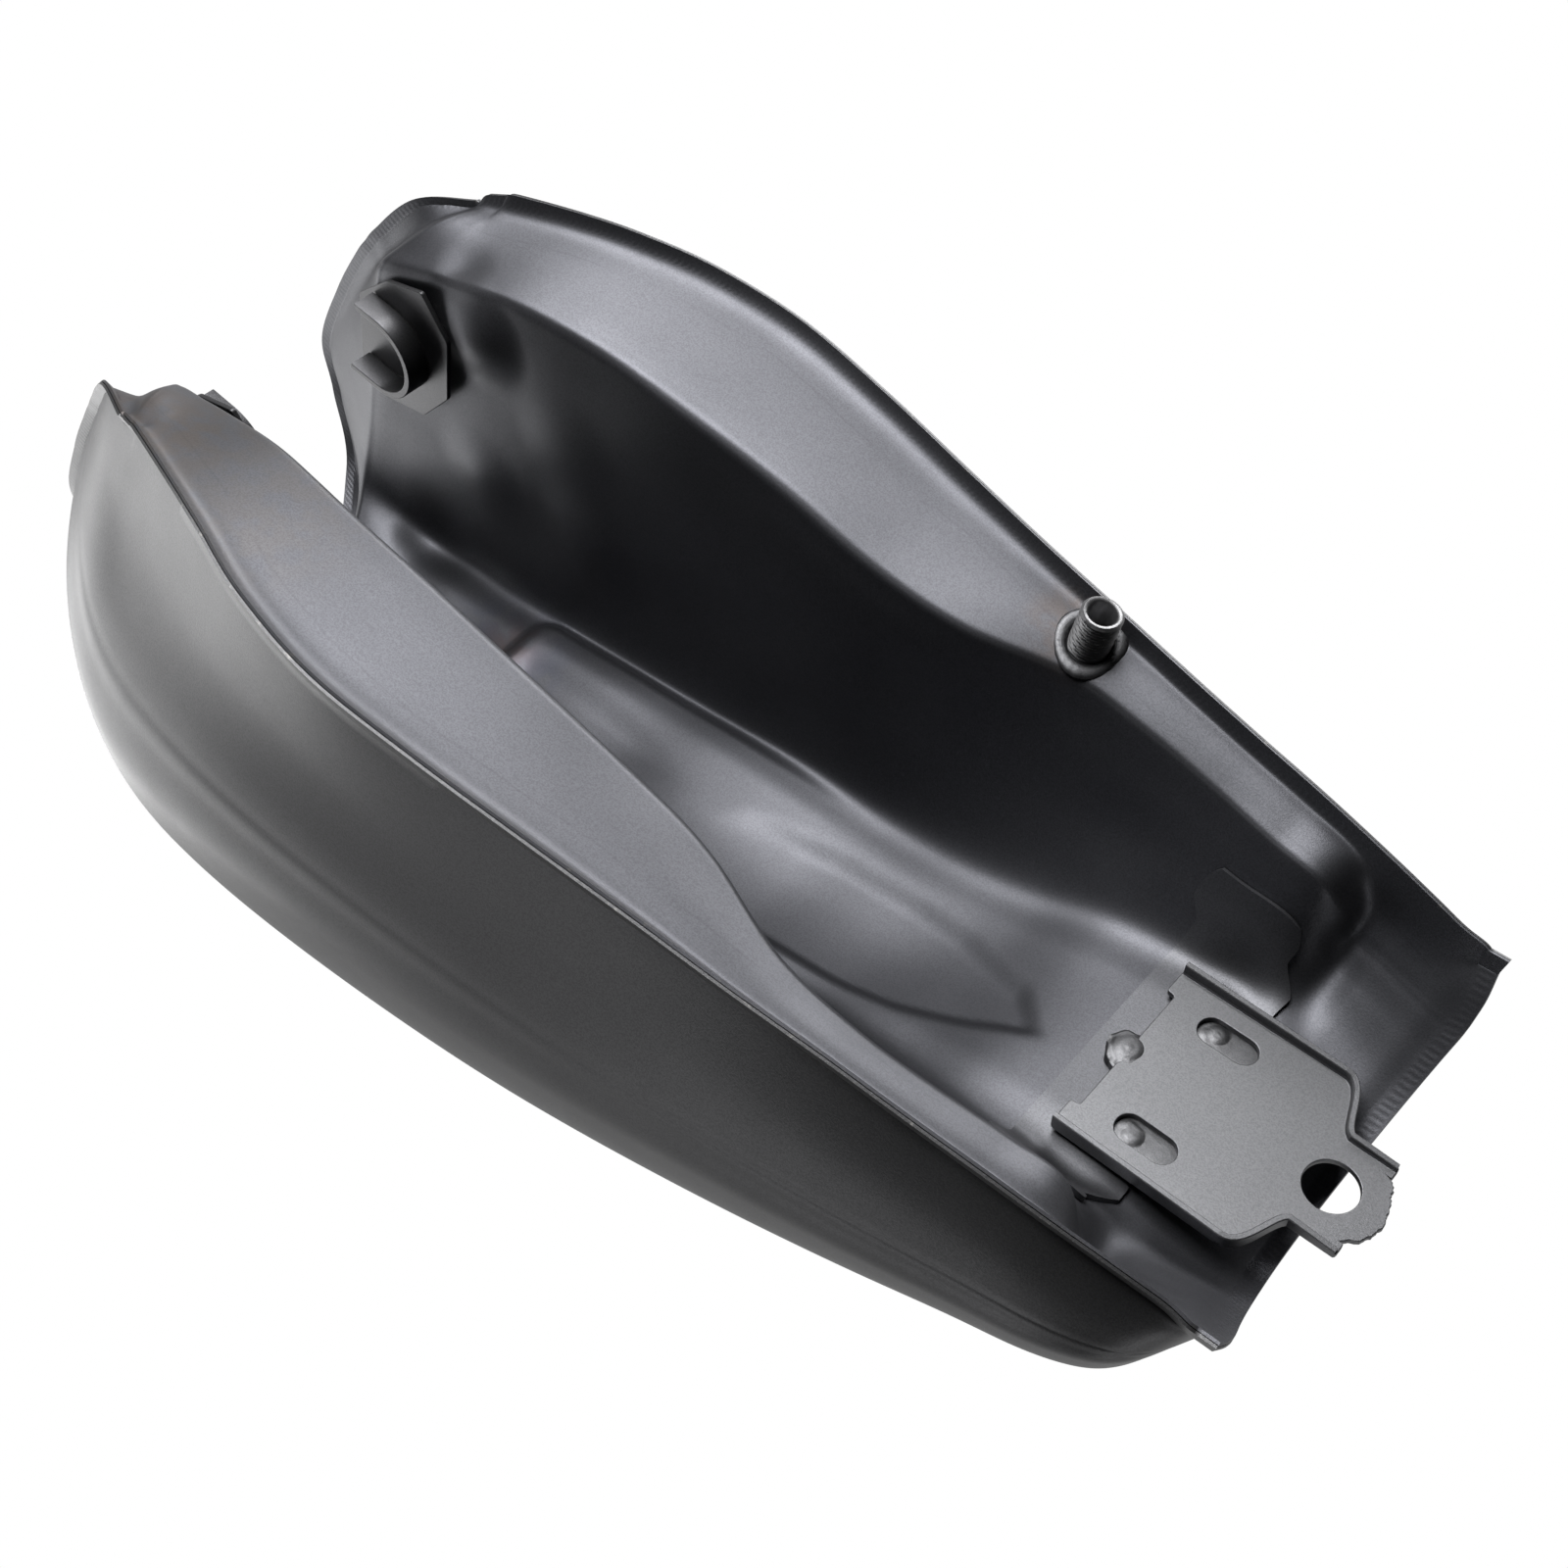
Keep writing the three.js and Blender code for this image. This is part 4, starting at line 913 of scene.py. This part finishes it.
def cup_outline():
    r, inner = CUP["r"], CUP["r"] - CUP["wall"]
    out = [(CUP["low"], -r)]
    out += [(-r * math.cos(a), r * math.sin(a)) for a in np.linspace(-math.pi / 2, math.pi / 2, 40)]
    out += [(CUP["high"], r), (CUP["high"] - 1.2, inner)]
    out += [(-inner * math.cos(a), inner * math.sin(a)) for a in np.linspace(math.pi / 2, -math.pi / 2, 40)]
    out += [(CUP["low"] - 1.0, -inner)]
    return out


for side, label in ((1, "left"), (-1, "right")):
    plate = plate_object("plate_" + label, [rounded(PLATE_CORNERS, 1.2, 3)], CUP["plate"], 0.3,
                         on_wall(side, CUP["y"]), cup_paint)
    keep(plate, "tank", "front_plate_" + label)
    cup = plate_object("cup_" + label, [cup_outline()], CUP["width"], 0.4,
                       on_wall(side, CUP["y"] - SEAM_GAP - CUP["width"]), cup_paint)
    keep(cup, "tank", "front_cup_" + label)

# -------------------- petcock spigot
s = SPIGOT


def thread(theta, r, z):
    phase = ((z - s["tip"]) / s["pitch"] - theta / (2 * math.pi)) % 1.0
    groove = 0.85 * (1 - np.abs(2 * phase - 1))
    wall = (r > s["r"] - 0.05) & (z > s["tip"] + 1.0)
    fade = np.clip((s["tip"] + s["thread"] - z) / 2.0, 0, 1) * np.clip((z - s["tip"] - 0.9) / 0.8, 0, 1)
    return np.where(wall, r - groove * fade, r), z


profile = [(s["bore"], s["top"]), (s["bore"], s["tip"] + 0.9), (s["bore"] + 0.9, s["tip"]),
           (s["r"] - 0.9, s["tip"]), (s["r"] - 0.6, s["tip"] + 0.4)]
profile += [(s["r"], z) for z in np.arange(s["tip"] + 1.0, s["tip"] + s["thread"] + 0.5, 0.16)]
profile += [(s["r"], s["top"])]
spigot = turned_object("spigot", profile, 80, lambda p: p + np.array([s["x"], s["y"], 0]), spigot_steel,
                       wobble=thread, sharp=50)
keep(spigot, "tank", "petcock_spigot")

flat = pan_half[..., :2] - np.array([s["x"], s["y"]])
row, col = np.unravel_index(np.argmin(np.hypot(flat[..., 0], flat[..., 1])), flat.shape[:2])
foot, foot_normal = pan_half[row, col], normals_of(pan_half)[row, col]
theta = np.linspace(0, 2 * math.pi, 160, endpoint=False)
section = np.linspace(0, 2 * math.pi, 14, endpoint=False)
ripple = 1 + 0.008 * np.sin(theta * 23 + np.sin(theta * 3)) + 0.12 * np.sin(theta * 3 + 1)
ring_r = 8.15 + 5.2 * ripple[:, None] * (0.5 + 0.5 * np.cos(section))
rise = 1.05 * ripple[:, None] * np.sin(section)
ring_x, ring_y = ring_r * np.cos(theta)[:, None], ring_r * np.sin(theta)[:, None]
slope_z = -(foot_normal[0] * ring_x + foot_normal[1] * ring_y) / foot_normal[2]
ring = np.stack([ring_x + s["x"], ring_y + s["y"], foot[2] + slope_z - far + 0.2 - np.abs(rise)], -1)
ids = np.arange(ring.shape[0] * ring.shape[1]).reshape(ring.shape[:2])
nxt = np.roll(ids, -1, axis=0)
faces = np.stack([ids, np.roll(ids, -1, axis=1), np.roll(nxt, -1, axis=1), nxt], -1).reshape(-1, 4)
collar = mesh_object("spigot_collar", metres(ring.reshape(-1, 3)), faces.tolist(), weld_paint, 60)
keep(collar, "tank", "spigot_weld")

# -------------------- filler neck and cap
n = NECK
outer, top, lip = n["outer"], n["top"], n["lip"]
neck = turned_object("neck", [(n["inner"], n["low"]), (outer - 0.3, n["low"]), (outer, n["low"] + 0.3),
                              (outer, top - 0.6), (outer - 0.6, top), (lip + 0.4, top), (lip, top - 0.4),
                              (lip, n["lip_low"]), (n["inner"], n["lip_low"])],
                     96, on_neck, neck_paint)
keep(neck, "tank", "filler_neck")
flange_low = top + 2 * SEAM_GAP + n["gasket"]
cover_low = flange_low + 2 + SEAM_GAP
cover_top = cover_low + 7
arch = [(9.4, cover_low), (28.4, cover_low), (28.4, flange_low), (31.2, flange_low), (31.9, flange_low + 0.7)]
arch += [(lerp(17.5, 32.0, math.cos(a)), lerp(cover_low + 0.6, cover_top, math.sin(a)))
         for a in np.linspace(0, math.pi / 2, 16)]
arch += [(14.5, cover_top), (13.9, cover_top - 0.35), (13.3, cover_top), (9.9, cover_top),
         (9.4, cover_top - 0.5)]


def fluted(theta, r, z):
    grip = np.clip((r - 29.5) / 1.5, 0, 1) * (0.5 + 0.5 * np.cos(theta * 36)) * 0.55
    return r - grip, z


cover = turned_object("cap_dome", arch, 216, on_neck, chrome, wobble=fluted, sharp=40)
keep(cover, "cap", "cap_cover")
ring_low = top + SEAM_GAP
ring_high = ring_low + n["gasket"]
gasket = turned_object("gasket_ring", [(20.8, ring_low), (26.2, ring_low), (26.4, ring_low + 0.4),
                                       (26.4, ring_high - 0.4), (26.2, ring_high), (20.8, ring_high)],
                       72, on_neck, rubber)
keep(gasket, "cap", "cap_gasket")

k = SHUTTER
meet = math.asin((k["r"] - k["eye_r"]) / k["eye_v"])
drop = [(k["r"] * math.cos(a), k["r"] * math.sin(a))
        for a in np.linspace(math.pi - meet, 2 * math.pi + meet, 48)]
drop += [(k["eye_r"] * math.cos(a), k["eye_v"] + k["eye_r"] * math.sin(a))
         for a in np.linspace(meet, math.pi - meet, 20)]
shutter = plate_object("key_shutter", [drop, circle(0, k["eye_v"], k["hole_r"], 24)], k["thick"], 0.35,
                       lambda p: on_neck(p + np.array([0, 0, cover_top + SEAM_GAP])), chrome)
keep(shutter, "keyhole_cover", "keyhole_cover")
head = cover_top + 2 * SEAM_GAP + k["thick"]
rivet = [(0.01, cover_top - 4.7), (1.5, cover_top - 4.7), (1.5, head), (3.0, head), (2.9, head + 0.3),
         (2.3, head + 0.75), (1.2, head + 1.0), (0.01, head + 1.05)]
pin = turned_object("shutter_rivet", rivet, 40, lambda p: on_neck(p + np.array([0, k["eye_v"], 0])), chrome)
keep(pin, "cap", "keyhole_pin")
for node in ("cap_base", "lock_barrel", "lock_cam", "latch_front", "latch_rear"):
    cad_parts[node].data.materials.clear()
    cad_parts[node].data.materials.append(zinc)

# -------------------- camera, below the tank and to its right
eye = Vector(metres([(40.30, -348.43, -538.09)])[0])
right = Vector((-0.74329, 0.65401, -0.14069))
up = Vector((0.61266, 0.58104, -0.53576))
back = Vector((-0.26865, -0.48442, -0.83256))
camera_data = bpy.data.cameras.new("camera")
camera_data.lens = 45
camera_data.sensor_width = 36
camera_data.clip_start = 0.01
camera = bpy.data.objects.new("camera", camera_data)
scene.collection.objects.link(camera)
camera.matrix_world = Matrix((
    (right.x, up.x, back.x, eye.x),
    (right.y, up.y, back.y, eye.y),
    (right.z, up.z, back.z, eye.z),
    (0, 0, 0, 1),
))
scene.camera = camera

# -------------------- floor, lights and surroundings
# The floor is white from above and clear from below, where the main view is.
floor_mesh = bpy.data.meshes.new("floor")
floor_mesh.from_pydata([(-3, -3, 0), (3, -3, 0), (3, 3, 0), (-3, 3, 0)], [], [(0, 1, 2, 3)])
floor = bpy.data.objects.new("floor", floor_mesh)
scene.collection.objects.link(floor)
floor_material, floor_tree, floor_bsdf = shader("floor_paper", (0.86, 0.86, 0.86), 0.0, 0.8)
floor_nodes = Nodes(floor_tree)
see_through = floor_nodes.new("ShaderNodeBsdfTransparent")
side_mix = floor_nodes.new("ShaderNodeMixShader")
facing = floor_nodes.new("ShaderNodeNewGeometry")
floor_nodes.link(facing.outputs["Backfacing"], side_mix.inputs[0])
floor_nodes.link(floor_bsdf.outputs[0], side_mix.inputs[1])
floor_nodes.link(see_through.outputs[0], side_mix.inputs[2])
floor_nodes.link(side_mix.outputs[0], floor_tree.nodes["Material Output"].inputs["Surface"])
floor_mesh.materials.append(floor_material)
floor.visible_diffuse = False
floor.visible_glossy = False
floor.visible_transmission = False
floor.visible_shadow = False

middle = (Vector(start_box[0]) + Vector(start_box[1])) / 2
LIGHT_DISTANCE = 1.6


def softbox(name, direction, width, height, power):
    """Area light that faces the middle of the tank from a direction in the tank's own axes."""
    data = bpy.data.lights.new(name, "AREA")
    data.shape = "RECTANGLE"
    data.size, data.size_y = width, height
    data.energy = power
    data.spread = math.radians(180)
    light = bpy.data.objects.new(name, data)
    light.location = middle + direction.normalized() * LIGHT_DISTANCE
    light.rotation_euler = (-direction).to_track_quat("-Z", "Y").to_euler()
    light.visible_camera = False
    scene.collection.objects.link(light)


def seen(r, u, k):
    """A direction given to the right, upward and towards the viewer of the main picture."""
    return right * r + up * u + back * k


softbox("overhead", seen(-0.15, 0.78, 0.61), 1.15, 0.85, 54)
softbox("overhead_back", seen(0.42, 0.88, -0.20), 1.2, 0.9, 30)
softbox("left_back", seen(-0.87, -0.02, -0.50), 1.0, 1.3, 12)
softbox("lower_left", seen(-0.70, -0.65, -0.10), 1.6, 1.2, 1.2)
softbox("lower_front", seen(-0.60, -0.70, 0.38), 1.0, 0.8, 4)
softbox("from_below", seen(0.22, -0.92, 0.33), 0.7, 0.6, 2.5)

# The camera sees plain white. The tank is lit by a room that is bright behind it and dark in front.
world = bpy.data.worlds.new("studio")
world.use_nodes = True
scene.world = world
tree = world.node_tree
surroundings = Nodes(tree)
backdrop = tree.nodes["Background"]
backdrop.inputs["Strength"].default_value = 1.0
room = surroundings.new("ShaderNodeBackground")
toward = surroundings.new("ShaderNodeVectorMath", operation="DOT_PRODUCT")
surroundings.link(surroundings.new("ShaderNodeTexCoord").outputs["Generated"], toward.inputs[0])
toward.inputs[1].default_value = tuple(-back)
glow = surroundings.ramp(toward.outputs["Value"], -0.42, 0.25, 0.012, 0.6)
surroundings.link(glow, room.inputs["Strength"])
light_path = surroundings.new("ShaderNodeLightPath")
choose = surroundings.new("ShaderNodeMixShader")
surroundings.link(light_path.outputs["Is Camera Ray"], choose.inputs[0])
surroundings.link(room.outputs[0], choose.inputs[1])
surroundings.link(backdrop.outputs[0], choose.inputs[2])
surroundings.link(choose.outputs[0], tree.nodes["World Output"].inputs["Surface"])
for light_source in (backdrop, room):
    light_source.inputs["Color"].default_value = (1, 1, 1, 1)
scene.view_settings.view_transform = "Standard"
